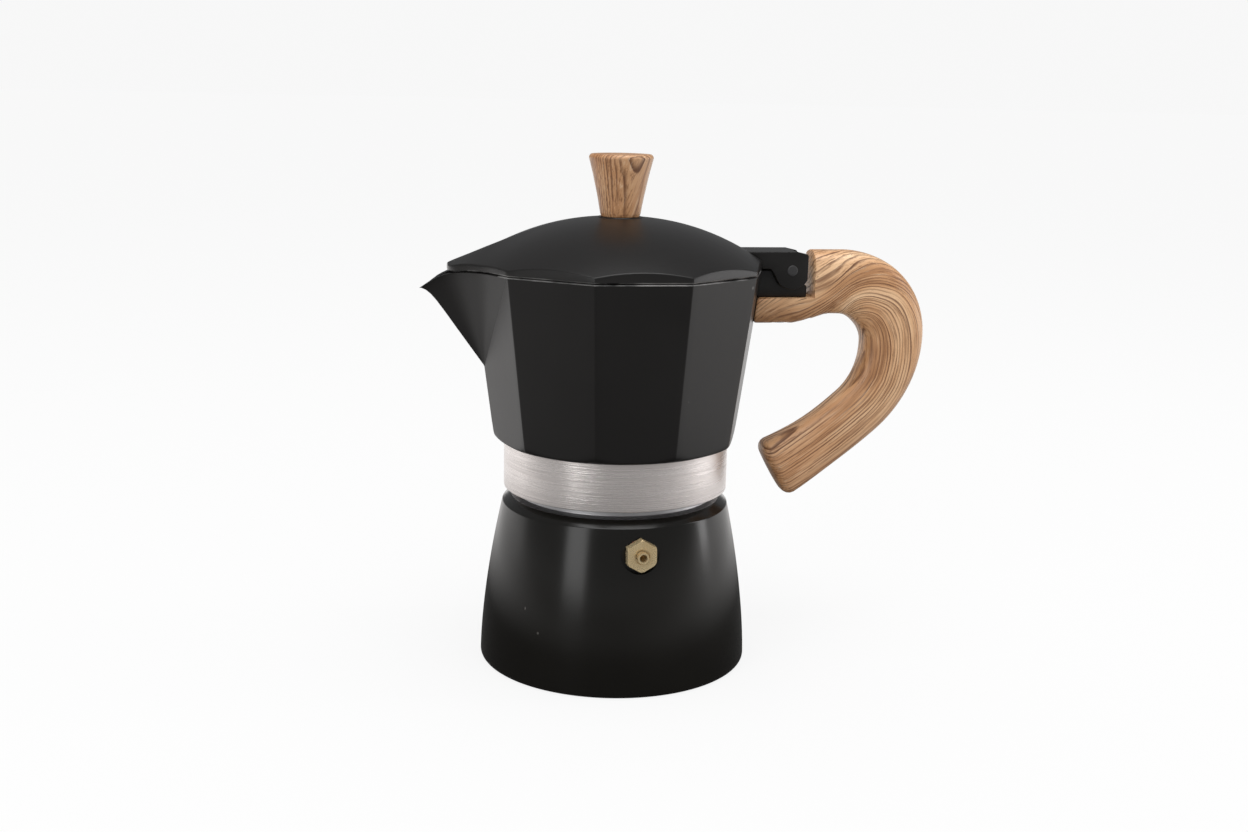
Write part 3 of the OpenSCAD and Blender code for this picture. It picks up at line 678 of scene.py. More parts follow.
@dataclass(frozen=True)
class Enamel:
    """Black enamel on a casting, from satin to glossy."""

    name: str
    colour: Colour = (0.0062, 0.0056, 0.0053)
    dust_colour: Colour = (0.16, 0.15, 0.14)
    lift: float = 1.45
    roughness: float = 0.33
    uneven: float = 0.06
    depth: float = 0.30
    specular: float = 0.4

    def build(self, groups: Groups) -> Material:
        """Makes the finish's material from the shared groups and returns it."""
        material, n, shader = new_material(self.name)
        values = {"Vector": n.here(), "Scale": 1.0, "Depth": self.depth}
        skin = n.add("ShaderNodeGroup", node_tree=groups["cast_skin"], inputs=values)
        cloud = skin.outputs["Cloud"]
        pale = tuple(c * self.lift for c in self.colour)
        tone = n.blend(n.remap(cloud, 0.35, 0.7, 0, 1), self.colour, pale)
        tone = n.blend(n.times(skin.outputs["Dust"], 0.7), tone, self.dust_colour)
        half = self.uneven / 2
        n.feed(shader, {
            "Base Color": tone,
            "Roughness": n.remap(cloud, 0.3, 0.7, self.roughness - half, self.roughness + half),
            "Normal": skin.outputs["Normal"],
            "Specular IOR Level": self.specular,
        })
        return material


@dataclass(frozen=True)
class TurnedMetal:
    """Bare metal with the rings left by turning."""

    name: str
    colour: Colour
    shade: Colour
    roughness: float = 0.3
    depth: float = 0.35
    metallic: float = 1.0

    def build(self, groups: Groups) -> Material:
        """Makes the finish's material from the shared groups and returns it."""
        material, n, shader = new_material(self.name)
        where = n.here()
        values = {"Vector": where, "Depth": self.depth}
        marks = n.add("ShaderNodeGroup", node_tree=groups["turned_marks"], inputs=values)
        streak = marks.outputs["Streak"]
        tone = n.blend(n.remap(streak, 0.3, 0.7, 0, 1), self.shade, self.colour)
        tone = n.blend(n.remap(n.noise(where, 45, 3, 0.6), 0.4, 0.75, 0, 0.35), tone, self.shade)
        n.feed(shader, {
            "Base Color": tone,
            "Roughness": n.remap(streak, 0.3, 0.7, self.roughness + 0.05, self.roughness - 0.05),
            "Normal": marks.outputs["Normal"],
            "Metallic": self.metallic,
        })
        return material


@dataclass(frozen=True)
class PlainFinish:
    """Cast, pressed or moulded surface with fine grit and soft clouds of tone."""

    name: str
    colour: Colour
    shade: Colour
    roughness: float
    metallic: float
    grit: float
    depth: float

    def build(self, _groups: Groups) -> Material:
        """Makes the finish's material and returns it; it needs no shared group."""
        material, n, shader = new_material(self.name)
        where = n.here()
        grit = n.noise(where, self.grit, 2, 0.6)
        cloud = n.remap(n.noise(where, 70, 3, 0.6), 0.35, 0.7, 0, 1)
        n.feed(shader, {
            "Base Color": n.blend(cloud, self.shade, self.colour),
            "Roughness": n.remap(grit, 0.3, 0.7, self.roughness - 0.06, self.roughness + 0.06),
            "Normal": n.bump(self.depth, 0.0001, grit),
            "Metallic": self.metallic,
        })
        return material


@dataclass(frozen=True)
class PrintedWood:
    """Satin plastic with a printed wood grain."""

    name: str
    attribute: Optional[str] = None
    turn: Point3 = (0, 0, 0)
    wander: float = 1.0
    knot: float = 0.0
    lines: float = 1.0
    roughness: float = 0.42

    def build(self, groups: Groups) -> Material:
        """Makes the finish's material from the shared groups and returns it."""
        material, n, shader = new_material(self.name)
        if self.attribute:
            where = n.add("ShaderNodeAttribute", attribute_name=self.attribute).outputs["Vector"]
        else:
            where = n.stretch(n.here(), (1, 1, 1), self.turn)
        values = {"Vector": where, "Wander": self.wander, "Knot": self.knot, "Lines": self.lines}
        grain = n.add("ShaderNodeGroup", node_tree=groups["printed_grain"], inputs=values)
        height = grain.outputs["Height"]
        n.feed(shader, {
            "Base Color": grain.outputs["Color"],
            "Roughness": n.remap(height, -1.2, 0.3, self.roughness + 0.12, self.roughness - 0.04),
            "Normal": n.bump(0.35, 0.00012, height),
        })
        return material


class Palette:
    """Every finish of the pot, built once."""

    def __init__(self) -> None:
        """Builds the shared groups and then the materials."""
        groups = {
            "cast_skin": cast_skin_group(),
            "turned_marks": turned_marks_group(),
            "printed_grain": grain_group(),
        }
        # Plain finishes: colour, shade, roughness, metallic, grit, depth
        finishes = {
            "satin": Enamel("satin_enamel", roughness=0.34, depth=0.22),
            "gloss": Enamel(
                "gloss_enamel", colour=(0.0048, 0.0044, 0.0036), roughness=0.20, uneven=0.04, depth=0.10
            ),
            "band": TurnedMetal(
                "turned_band", (0.82, 0.775, 0.755), (0.70, 0.65, 0.63), 0.28, 0.8, 0.82
            ),
            "bare": TurnedMetal("machined_bore", (0.72, 0.72, 0.73), (0.55, 0.55, 0.56), 0.36, 0.5),
            "cast": PlainFinish(
                "cast_aluminium", (0.62, 0.62, 0.63), (0.50, 0.50, 0.51), 0.42, 1.0, 600.0, 0.4
            ),
            "sheet": PlainFinish(
                "aluminium_sheet", (0.74, 0.75, 0.76), (0.62, 0.63, 0.64), 0.34, 1.0, 1400.0, 0.2
            ),
            "brass": PlainFinish(
                "machined_brass", (0.83, 0.68, 0.42), (0.70, 0.53, 0.29), 0.28, 0.7, 1600.0, 0.1
            ),
            "steel": PlainFinish(
                "bright_steel", (0.62, 0.63, 0.64), (0.50, 0.51, 0.52), 0.28, 1.0, 1500.0, 0.15
            ),
            "fibre": PlainFinish(
                "fibre_washer", (0.30, 0.08, 0.045), (0.21, 0.05, 0.03), 0.7, 0.0, 1800.0, 0.5
            ),
            "dark_rubber": PlainFinish(
                "dark_rubber", (0.035, 0.035, 0.035), (0.02, 0.02, 0.02), 0.62, 0.0, 1200.0, 0.4
            ),
            "pale_rubber": PlainFinish(
                "pale_rubber", (0.80, 0.78, 0.72), (0.70, 0.67, 0.60), 0.58, 0.0, 900.0, 0.3
            ),
            # Grey metallic edge colour: a painted highlight along the chamber's rim and the lid's lower edge
            "worn": PlainFinish("painted_rim_highlight", (0.42, 0.41, 0.40), (0.02, 0.02, 0.02), 0.36, 0.6, 700.0, 0.3),
            "pin": PlainFinish(
                "painted_pin", (0.045, 0.044, 0.046), (0.028, 0.027, 0.028), 0.45, 0.0, 900.0, 0.4
            ),
            "handle": PrintedWood("printed_wood_handle", attribute="grain", wander=0.6, knot=0.55),
            "knob": PrintedWood("printed_wood_knob", turn=(0, math.radians(68), 0), wander=0.13, lines=1.1),
        }
        self.materials = {key: finish.build(groups) for key, finish in finishes.items()}

    def __getitem__(self, key: str) -> Material:
        """Material by its short name."""
        return self.materials[key]

    def dress(self, key: str, *nodes: str) -> None:
        """Puts a finish on CAD nodes in place of their plain ones."""
        material = self.materials[key]
        for node in nodes:
            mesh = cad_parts[node].data
            mesh.materials.clear()
            mesh.materials.append(material)
            LOG.info("node %s wears %s", node, material.name)


# ---- sub-assemblies --------------------------------------------------------


@dataclass
class Heights:
    """Heights that more than one sub-assembly uses, from the base up."""

    shoulder: float = 59.8
    shoulder_top: float = 62.4
    collar: float = 65.6
    neck_top: float = 76.2
    gasket_top: float = 79.8
    plate_top: float = 80.8
    collar_top: float = 83.0
    floor: float = 86.6
    dome: float = 164.8


@dataclass
class Boiler:
    """The round lower half with its threaded neck and its safety valve."""

    base_r: float = 50.0
    shoulder_r: float = 42.0
    curve: float = 1.65
    wall: float = 2.6
    bottom: float = 3.0
    foot_r: float = 1.6
    neck_r: float = 37.5
    neck_bore_r: float = 34.2
    thread_pitch: float = 3.0
    thread_depth: float = 0.8
    thread_h: float = 2.2
    valve_turn: float = math.radians(-87)
    valve_h: float = 51.2
    seat_r: float = 7.0
    seat_depth: float = 0.8
    valve_hole_r: float = 4.05
    spring_span: Point2 = (40.39, 45.27)
    spring_r: float = 2.375
    wire_r: float = 0.225
    spring_turns: int = 5
    push: float = 1.2
    heights: Heights = field(default_factory=Heights)

    def wall_r(self, z: float) -> float:
        """Outer radius of the wall at height z."""
        share = max(z, 0) / self.heights.shoulder
        return self.base_r - (self.base_r - self.shoulder_r) * share**self.curve

    @property
    def root_r(self) -> float:
        """Radius at the root of the neck's thread."""
        return self.neck_r - self.thread_depth

    @property
    def valve_axis(self) -> Vector:
        """Direction in which the safety valve points."""
        return polar(self.valve_turn)

    def outline(self) -> List[Point2]:
        """Closed outline of the casting from the outer foot round to the inner floor."""
        h, root = self.heights, self.root_r
        points: List[Point2] = [(0, 0.5), (self.base_r - 9, 0.5), (self.base_r - 8.2, 0.0)]
        foot = self.wall_r(self.foot_r)
        points += [
            (foot - self.foot_r + self.foot_r * math.sin(a), self.foot_r - self.foot_r * math.cos(a))
            for a in spread(7, 0, math.pi / 2)
        ]
        wall_top = h.shoulder - 0.5
        points += [(self.wall_r(z), z) for z in spread(56, self.foot_r, wall_top)[1:]]
        points += rounded_outline([
            (self.wall_r(wall_top), wall_top, 0),
            (self.shoulder_r, h.shoulder, 0.7),
            (self.neck_r + 1.2, h.shoulder_top, 0.6),
            (root, h.shoulder_top + 0.6, 0.3),
            (root, h.neck_top - 0.7, 0),
            (root - 0.7, h.neck_top, 0.2),
            (self.neck_bore_r + 0.4, h.neck_top, 0.2),
            (self.neck_bore_r, h.neck_top - 0.4, 0.2),
            (self.neck_bore_r, h.shoulder_top + 1, 0),
        ])[1:]
        low = self.bottom + 4
        points += [(self.wall_r(z) - self.wall, z) for z in spread(20, h.shoulder - 4, low)]
        inside = [
            (self.wall_r(low) - self.wall, low, 0),
            (self.wall_r(self.bottom) - self.wall, self.bottom, 3),
            (0, self.bottom, 0),
        ]
        return points + rounded_outline(inside, 8)[1:]

    def build(self, palette: Palette) -> None:
        """Builds the casting, its thread and the valve, and dresses them."""
        bm = lathe(self.outline(), steps=192, closed=False)
        centre, axis = up(self.valve_h), self.valve_axis
        face = self.wall_r(self.valve_h) - self.seat_depth
        seat = cylinder_along(centre + axis * face, axis, 12, self.seat_r)
        hole = cylinder_along(centre + axis * 34, axis, 20, self.valve_hole_r)
        bm = cut_away(bm, [seat, hole])
        self.mark_inside(bm)
        finishes = [palette["gloss"], palette["cast"]]
        to_object("boiler_casting", bm, finishes, Body.BOILER, ["boiler"])
        self.build_thread(palette)
        palette.dress("brass", "valve_body", "valve_plunger", "valve_retainer")
        palette.dress("fibre", "valve_washer")
        palette.dress("dark_rubber", "valve_seal")
        self.build_spring(palette)

    def mark_inside(self, bm: BMesh) -> None:
        """Gives the bare metal to the neck above the collar's foot, the inside and the underside; below it the
        neck keeps the black enamel as painted shade under the band.
        """
        for f in bm.faces:
            c = f.calc_center_median() / MM
            r = math.hypot(c.x, c.y)
            inside = r < self.wall_r(c.z) - self.wall * 0.6 and c.z > self.bottom * 0.9
            # Below this height the neck keeps the black enamel, painted shade in the gap under the band
            neck = c.z > self.heights.collar + 0.8
            under = c.z < 0.6 and r < self.base_r - 7.5
            if inside or neck or under:
                f.material_index = 1

    def build_thread(self, palette: Palette) -> None:
        """Builds the helical ridge on the neck."""
        sunk = self.root_r - 0.3
        z = self.heights.collar + 0.8
        ridge = [(sunk, z), (self.neck_r, z + 0.95), (self.neck_r, z + 1.25), (sunk, z + self.thread_h)]
        turns = (self.heights.neck_top - 0.8 - z - self.thread_h) / self.thread_pitch
        bm = helix_ridge(ridge, self.thread_pitch, turns, 128)
        to_object("neck_thread", bm, [palette["cast"]], Body.BOILER)

    def build_spring(self, palette: Palette) -> None:
        """Builds the valve's coil spring."""
        low, high = self.spring_span
        pitch = (high - low - 2 * self.wire_r) / self.spring_turns
        section = [
            (self.spring_r + self.wire_r * math.cos(a), self.wire_r * (1 + math.sin(a)))
            for a in spread(13, 0, FULL_TURN)[:-1]
        ]
        bm = helix_ridge(section, pitch, self.spring_turns, 40)
        turn = self.valve_axis.to_track_quat("Z", "Y").to_matrix().to_4x4()
        centre = up(self.valve_h)
        foot = Matrix.Translation((centre + self.valve_axis * low) * MM)
        bmesh.ops.transform(bm, matrix=foot @ turn, verts=bm.verts)
        coil = to_object("valve_coil", bm, [palette["steel"]], Body.BOILER, ["valve_spring"])
        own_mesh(coil)


@dataclass
class Funnel:
    """The coffee funnel, the gasket and the filter plate, which are CAD pieces."""

    sheet: Tuple[str, ...] = ("funnel_basket", "funnel_tube", "funnel_plate", "filter_plate")

    def build(self, palette: Palette) -> None:
        """Dresses the funnel's sheet, the gasket and the filter plate."""
        palette.dress("sheet", *self.sheet)
        palette.dress("pale_rubber", "gasket")


@dataclass
class Plan:
    """Ten-sided plan of the collector and the lid, with the spout's lips."""

    sides: int = 10
    waist_z: float = 86.3
    waist_r: float = 45.6
    rim_z: float = 146.5
    rim_r: float = 53.75
    corner_round: float = 1.1
    corner_steps: int = 3
    facet_steps: int = 9
    spout_steps: int = 22
    spout_foot_z: float = 110.3
    limit_soft: float = 1.2

    @property
    def half_angle(self) -> float:
        """Half the angle that one side takes up."""
        return math.pi / self.sides

    @property
    def spout_corner(self) -> int:
        """Number of the corner that the +Y lip of the spout starts from."""
        return self.sides // 2 - 1

    def corner_r(self, z: float) -> float:
        """Distance from the axis to a corner at height z."""
        return self.waist_r + (self.rim_r - self.waist_r) * (z - self.waist_z) / (self.rim_z - self.waist_z)

    def corner_point(self, corner: int, radius: float, z: float) -> Vector:
        """Sharp corner of the plan at height z."""
        p = polar(2 * self.half_angle * corner) * radius
        return Vector((p.x, p.y, z))

    def corner_arc(self, corner: int, radius: float, round_r: float, z: float) -> Row:
        """Points of one rounded corner, in order round the pot."""
        a = 2 * self.half_angle * corner
        centre = polar(a) * (radius - round_r / math.cos(self.half_angle))
        return [
            Vector((centre.x + round_r * math.cos(a + d), centre.y + round_r * math.sin(a + d), z))
            for d in spread(2 * self.corner_steps + 1, -self.half_angle, self.half_angle)
        ]

    def facet_inner(self, start: Vector, end: Vector) -> Row:
        """Points strictly between two ends of a facet."""
        return [start.lerp(end, t) for t in spread(self.facet_steps + 2)[1:-1]]

    def row(self, z: float, radius: float, round_r: float, limit: float, edge: Vector, spout: Row) -> Row:
        """One closed row of the chamber, starting at the -Y edge of the spout.

        Args:
            z: Height of the row.
            radius: Radius of the corners.
            round_r: Rounding of the corners.
            limit: Largest radius allowed, for the rounded foot.
            edge: Where the facet meets the spout wall, on the +Y side.
            spout: Points of the +Y spout wall from just past the edge to the keel.

        Returns:
            The row's points.
        """
        last = self.spout_corner
        first = last + 2 - self.sides
        a = 2 * self.half_angle * last
        # The corners beside the spout get sharper as the spout's edge nears them
        apart = math.hypot(edge.x - radius * math.cos(a), edge.y - radius * math.sin(a))
        last_round = min(round_r, apart / (2 * math.tan(self.half_angle)))
        corners = [
            self.corner_arc(k, radius, last_round if k in (first, last) else round_r, z)
            for k in range(first, last + 1)
        ]
        mirrored = Vector((edge.x, -edge.y, edge.z))
        out: Row = [mirrored, *self.facet_inner(mirrored, corners[0][0])]
        for arc, target in zip(corners, [*(after[0] for after in corners[1:]), edge]):
            out += [*arc, *self.facet_inner(arc[-1], target)]
        out += [edge, *spout]
        out += [Vector((p.x, -p.y, p.z)) for p in reversed(spout[:-1])]
        limited: Row = []
        for p in out:
            r = math.hypot(p.x, p.y)
            scale = smooth_min(r, limit, self.limit_soft) / r if r > 1e-6 else 1.0
            limited.append(Vector((p.x * scale, p.y * scale, p.z)))
        return limited


@dataclass
class Spout:
    """The V-shaped pouring spout, described by its lips and its keel."""

    plan: Plan
    lip_points: Tuple[Point3, ...] = (
        (-43.5, 31.6, 146.5), (-47.4, 24.4, 146.5), (-50.6, 18.9, 146.45), (-56.0, 12.2, 146.1),
        (-60.0, 7.6, 145.5), (-62.7, 5.0, 144.7), (-65.5, 3.0, 143.5), (-68.5, 1.5, 141.4),
        (-72.1, 0.0, 139.2),
    )
    keel_points: Tuple[Point2, ...] = (
        (-48.7, 110.3), (-53.9, 117.6), (-59.3, 125.2), (-64.2, 132.1), (-67.4, 136.2), (-69.8, 138.3),
        (-72.1, 139.2),
    )
    bow_power: float = 1.4
    wall: float = 2.1

    def lips(self) -> Row:
        """Points of the +Y lip from the body's corner to the tip."""
        return curve_through([Vector(p) for p in self.lip_points], self.plan.spout_steps + 1)

    def keel(self, s: float) -> Vector:
        """Point on the keel, s from 0 at the foot to 1 at the tip."""
        return curve_through([Vector((x, 0, z)) for x, z in self.keel_points], 101)[round(s * 100)]

    def wall_row(self, s: float) -> Row:
        """One row of the +Y wall, from the body's edge to the keel."""
        plan, lips, keel = self.plan, self.lips(), self.keel(s)
        edge = Vector((-plan.corner_r(plan.spout_foot_z), 0, plan.spout_foot_z)).lerp(lips[0], s)
        if s >= 1:
            edge = plan.corner_point(plan.spout_corner, plan.rim_r, edge.z)
        row: Row = []
        for lip, t in zip(lips, spread(plan.spout_steps + 1)):
            bow = lip - lips[0].lerp(lips[-1], t)
            p = edge.lerp(keel, t) + bow * s**self.bow_power
            row.append(Vector((p.x, max(p.y, 0.0), p.z)))
        return row

    def inner_row(self, outer: Row, edge: Vector) -> Row:
        """Row of the inside of the spout, a wall's thickness within the outer row.

        Args:
            outer: The outer row.
            edge: Where the inner facet meets the inside of the spout.

        Returns:
            The inner row, which starts at the edge.
        """
        shifted: Row = []
        for a, p, b in zip([outer[0], *outer], outer, [*outer[1:], outer[-1]]):
            along = Vector((b.x - a.x, b.y - a.y, 0))
            if along.length < 1e-6:
                shifted.append(p.copy())
                continue
            along.normalize()
            shifted.append(p + Vector((-along.y, along.x, 0)) * self.wall)
        # Past the point where the offset wall reaches the middle, it stays there
        apex: Optional[Vector] = None
        row: Row = []
        for before, p in zip([shifted[0], *shifted], shifted):
            if apex is None and p.y <= 0:
                apex = before.lerp(p, before.y / max(before.y - p.y, 1e-6))
            row.append(p if apex is None else Vector((apex.x, 0.0, p.z)))
        lift = edge - row[0]
        count = len(row)
        return [
            Vector((p.x + lift.x * (1 - i / count) ** 3, max(p.y + lift.y * (1 - i / count) ** 3, 0.0), p.z))
            for i, p in enumerate(row)
        ]


@dataclass
class Collector:
    """The ten-sided upper half with its column, spout, bare band and hinge lug."""

    plan: Plan = field(default_factory=Plan)
    heights: Heights = field(default_factory=Heights)
    wall: float = 2.73
    inner_round: float = 2.5
    band_r: float = 41.45
    band_foot: float = 74.0
    bore_r: float = 38.35
    seat_r: float = 34.9
    thread_r: float = 37.8
    thread_turns: float = 1.6
    foot_round: float = 5.0
    column_foot_r: float = 8.0
    column_top_r: float = 5.25
    column_top: float = 133.5
    column_slot: Point3 = (16, 6, 7)
    floor_rise: float = 5.2
    lug_half: float = 6.2
    lug_r: float = 4.6
    lug_under: float = 136.2
    pin_r: float = 2.0
    pin_half: float = 8.8
    outer_shares: Tuple[float, ...] = (
        0.02, 0.05, 0.1, 0.16, 0.23, 0.31, 0.4, 0.5, 0.6, 0.7, 0.79, 0.87, 0.93, 0.97, 0.99
    )
    inner_shares: Tuple[float, ...] = (0.98, 0.94, 0.88, 0.8, 0.7, 0.6, 0.5, 0.4, 0.31, 0.23, 0.16, 0.1, 0.06)

    @property
    def floor_r(self) -> float:
        """Radius of the floor's edge."""
        return self.band_r - 4.4

    def floor_z(self, r: float) -> float:
        """Height of the sloping floor at radius r."""
        return self.heights.floor + self.floor_rise * (1 - r / self.floor_r)

    def edge_point(self, z: float, s: float, inset: float) -> Vector:
        """Where the facet meets the spout at a share s of its height, drawn in by inset."""
        plan = self.plan
        a = math.pi - 2 * plan.half_angle
        radius = plan.corner_r(z) - inset
        return Vector((-radius, 0, z)).lerp(Vector((math.cos(a) * radius, math.sin(a) * radius, z)), s)

    def plain_level(self, z: float, radius: float, round_r: float, limit: float) -> Row:
        """Row without a spout, limited to a circle."""
        corner = Vector((-radius, 0, z))
        return self.plan.row(z, radius, round_r, limit, corner, [corner] * self.plan.spout_steps)

    def outer_level(self, spout: Spout, s: float, inset: float = 0.0, drop: float = 0.0) -> Row:
        """Outer row at a share s of the spout's height.

        Args:
            spout: The spout's shape.
            s: Share of the height from the spout's foot to the rim.
            inset: How far the row is drawn inwards.
            drop: Height added to the row.

        Returns:
            The closed row.
        """
        plan = self.plan
        z = mix(plan.spout_foot_z, plan.rim_z, s)
        wall = spout.wall_row(s)
        if inset > 0:
            wall = Spout(plan, wall=inset).inner_row(wall, self.edge_point(z, s, inset))
        row = plan.row(z, plan.corner_r(z) - inset, plan.corner_round, NO_LIMIT, wall[0], wall[1:])
        return [p + up(drop) for p in row]

    def inner_level(self, spout: Spout, s: float, extra: float = 0.0, drop: float = 0.0) -> Row:
        """Inner row at a share s of the spout's height.

        Args:
            spout: The spout's shape.
            s: Share of the height from the spout's foot to the rim.
            extra: How much the wall is thinned.
            drop: Height added to the row.

        Returns:
            The closed row.
        """
        plan = self.plan
        z = mix(plan.spout_foot_z, plan.rim_z, s)
        radius = plan.corner_r(z) - self.wall + extra
        wall = spout.inner_row(spout.wall_row(s), self.edge_point(z, s, self.wall - extra))
        row = plan.row(z, radius, self.inner_round, NO_LIMIT, wall[0], wall[1:])
        return [p + up(drop) for p in row]

    def outer_rows(self, spout: Spout) -> List[Row]:
        """Rows of the outside from the collar's top up to the rim."""
        plan, top, r = self.plan, self.heights.collar_top, self.foot_round
        levels = [
            (top + r * (1 - math.cos(a)), self.band_r + r * math.sin(a)) for a in spread(14, 0, math.pi / 2)
        ]
        levels += [(z, NO_LIMIT) for z in spread(6, top + r + 2, plan.spout_foot_z)]
        rows = [self.plain_level(z, plan.corner_r(z), plan.corner_round, limit) for z, limit in levels]
        rows += [self.outer_level(spout, s) for s in self.outer_shares]
        rim = [(0.995, 0.0, -0.25), (1.0, 0.18, -0.22), (1.0, 0.42, -0.06), (1.0, 0.8, 0.0)]
        return rows + [self.outer_level(spout, *level) for level in rim]

    def inner_rows(self, spout: Spout) -> List[Row]:
        """Rows of the inside from the rim down to the floor and up the column."""
        plan, foot_r, round_r = self.plan, self.floor_r, self.inner_round
        rows = [self.inner_level(spout, *level) for level in ((1.0, 0.35, -0.02), (1.0, 0.08, -0.25))]
        rows += [self.inner_level(spout, s) for s in self.inner_shares]
        for z, limit in (
            (plan.spout_foot_z, NO_LIMIT), (103.0, NO_LIMIT), (97.0, NO_LIMIT), (92.5, foot_r + 6.2),
            (90.0, foot_r + 4.9), (88.2, foot_r + 3.2), (87.0, foot_r + 1.2), (86.7, foot_r - 1.5),
        ):
            rows.append(self.plain_level(z, plan.corner_r(z) - self.wall, round_r, limit))
        for t in spread(6)[1:]:
            r = mix(foot_r - 1.5, self.column_foot_r + 1.6, t)
            rows.append(self.plain_level(self.floor_z(r), plan.corner_r(90), round_r, r))
        foot = self.floor_z(self.column_foot_r) + 1.4
        column = [(foot - 0.9, self.column_foot_r + 0.5)]
        column += [
            (mix(foot, self.column_top - 1.2, t), mix(self.column_foot_r, self.column_top_r, t))
            for t in spread(7)
        ]
        column += [(self.column_top + z, r) for r, z in ((4.95, -0.5), (4.4, -0.12), (3.6, 0.0), (1.2, 0.0))]
        # The plan is wider than the column here, so that only its limit counts
        return rows + [self.plain_level(z, 60, round_r, r) for z, r in column]

    def build(self, palette: Palette) -> None:
        """Builds the chamber, the band, the hinge lug and the handle's fixings."""
        spout = Spout(self.plan)
        bm = sweep_rows([*self.outer_rows(spout), *self.inner_rows(spout)])
        clean(bm, 2e-5)
        bm = cut_away(bm, [self.column_cutter()])
        for f in bm.faces:
            c = f.calc_center_median() / MM
            if self.is_inside(c):
                f.material_index = 1
            # Painted highlight: a thin grey band on the rim's top edge stands in for the light caught there
            if c.z > self.plan.rim_z - 0.52 and c.x > -46:
                f.material_index = 2
        finishes = [palette["satin"], palette["cast"], palette["worn"]]
        to_object("chamber", bm, finishes, Body.COLLECTOR, ["collector"], FACET_ANGLE)
        self.build_band(palette)
        self.build_lug(palette)
        palette.dress("steel", "handle_screw", "handle_washer")
        self.build_pin(palette)

    def is_inside(self, c: Vector) -> bool:
        """Whether a face's centre lies on the inside of the chamber."""
        plan = self.plan
        if c.z > plan.rim_z - 0.6 or c.z < self.heights.collar_top + 0.5:
            return False
        if c.x < -44 and c.z > 140 and abs(c.y) < 22:
            return False
        apothem = (plan.corner_r(c.z) - self.wall * 0.6) * math.cos(plan.half_angle)
        a = math.atan2(c.y, c.x) % (2 * plan.half_angle) - plan.half_angle
        return math.hypot(c.x, c.y) * math.cos(a) < apothem

    def column_cutter(self) -> BMesh:
        """Cutter for the two openings near the column's top."""
        bm = bmesh.new()
        bmesh.ops.create_cube(bm, size=1.0)
        size = Vector(self.column_slot) * MM
        place = Matrix.Translation(up(self.column_top - 6.5) * MM) @ Matrix.Diagonal((*size, 1))
        bmesh.ops.transform(bm, matrix=place, verts=bm.verts)
        return bm

    def build_band(self, palette: Palette) -> None:
        """Builds the bare collar with its thread, seats and steam cone."""
        h, bore, seat, foot = self.heights, self.bore_r, self.seat_r, self.band_foot
        cone = h.floor + self.floor_rise
        outline = rounded_outline([
            (self.band_r, foot, 0),
            (self.band_r, h.collar, 0.35),
            (bore + 0.9, h.collar, 0.3),
            (bore, h.collar + 0.9, 0.3),
            (bore, h.gasket_top, 0),
            (seat, h.gasket_top, 0.15),
            (seat, h.plate_top + 0.05, 0),
            (32.5, h.plate_top + 0.05, 0.15),
            (32.2, h.floor - 3.4, 1.2),
            (4.2, cone - 3.6, 1.0),
            (3.0, cone - 2.4, 0.4),
            (3.0, self.column_top - 12, 0),
            (3.6, self.column_top - 12, 0),
            (3.8, cone - 2.0, 0),
            (34.0, h.floor - 2.6, 0),
            (39.2, h.collar_top - 0.1, 0),
            (self.band_r - 0.15, h.collar_top + 0.05, 0.1),
            (self.band_r, h.collar_top - 0.25, 0.1),
            (self.band_r, foot + 0.2, 0),
        ])
        bm = lathe(outline, steps=192)
        to_object("bare_band", bm, [palette["band"]], Body.COLLECTOR)
        z, root, crest = h.collar + 4.6, bore + 0.3, self.thread_r
        ridge = [(root, z), (root, z + 2.0), (crest, z + 1.15), (crest, z + 0.85)]
        bm = helix_ridge(ridge, Boiler.thread_pitch, self.thread_turns, 128)
        to_object("collar_thread", bm, [palette["bare"]], Body.COLLECTOR)

    def build_lug(self, palette: Palette) -> None:
        """Builds the lug that carries the hinge pin."""
        x, z = PIN
        under = self.lug_under
        round_top = arc_points(x, z, self.lug_r, 17, -46, 180)
        outline = [(50.0, under), (x + 6.3, under), (x + 6.4, under + 4.0), *round_top, (51.3, z + 0.1)]
        bm = slab(outline, -self.lug_half, self.lug_half, 0.5)
        to_object("hinge_lug", bm, [palette["satin"]], Body.COLLECTOR)

    def build_pin(self, palette: Palette) -> None:
        """Builds the hinge pin with its softly rounded ends."""
        r, half = self.pin_r, self.pin_half
        outline = rounded_outline([(0, -half, 0), (r, -half, 0.5), (r, half, 0.5), (0, half, 0)])
        bm = lathe(outline, steps=48, closed=False)
        turn = Matrix.Rotation(math.pi / 2, 4, "X")
        place = Matrix.Translation(Vector((PIN[0], 0, PIN[1])) * MM) @ turn
        bmesh.ops.transform(bm, matrix=place, verts=bm.verts)
        to_object("hinge_pin_rod", bm, [palette["pin"]], Body.COLLECTOR, ["hinge_pin"])


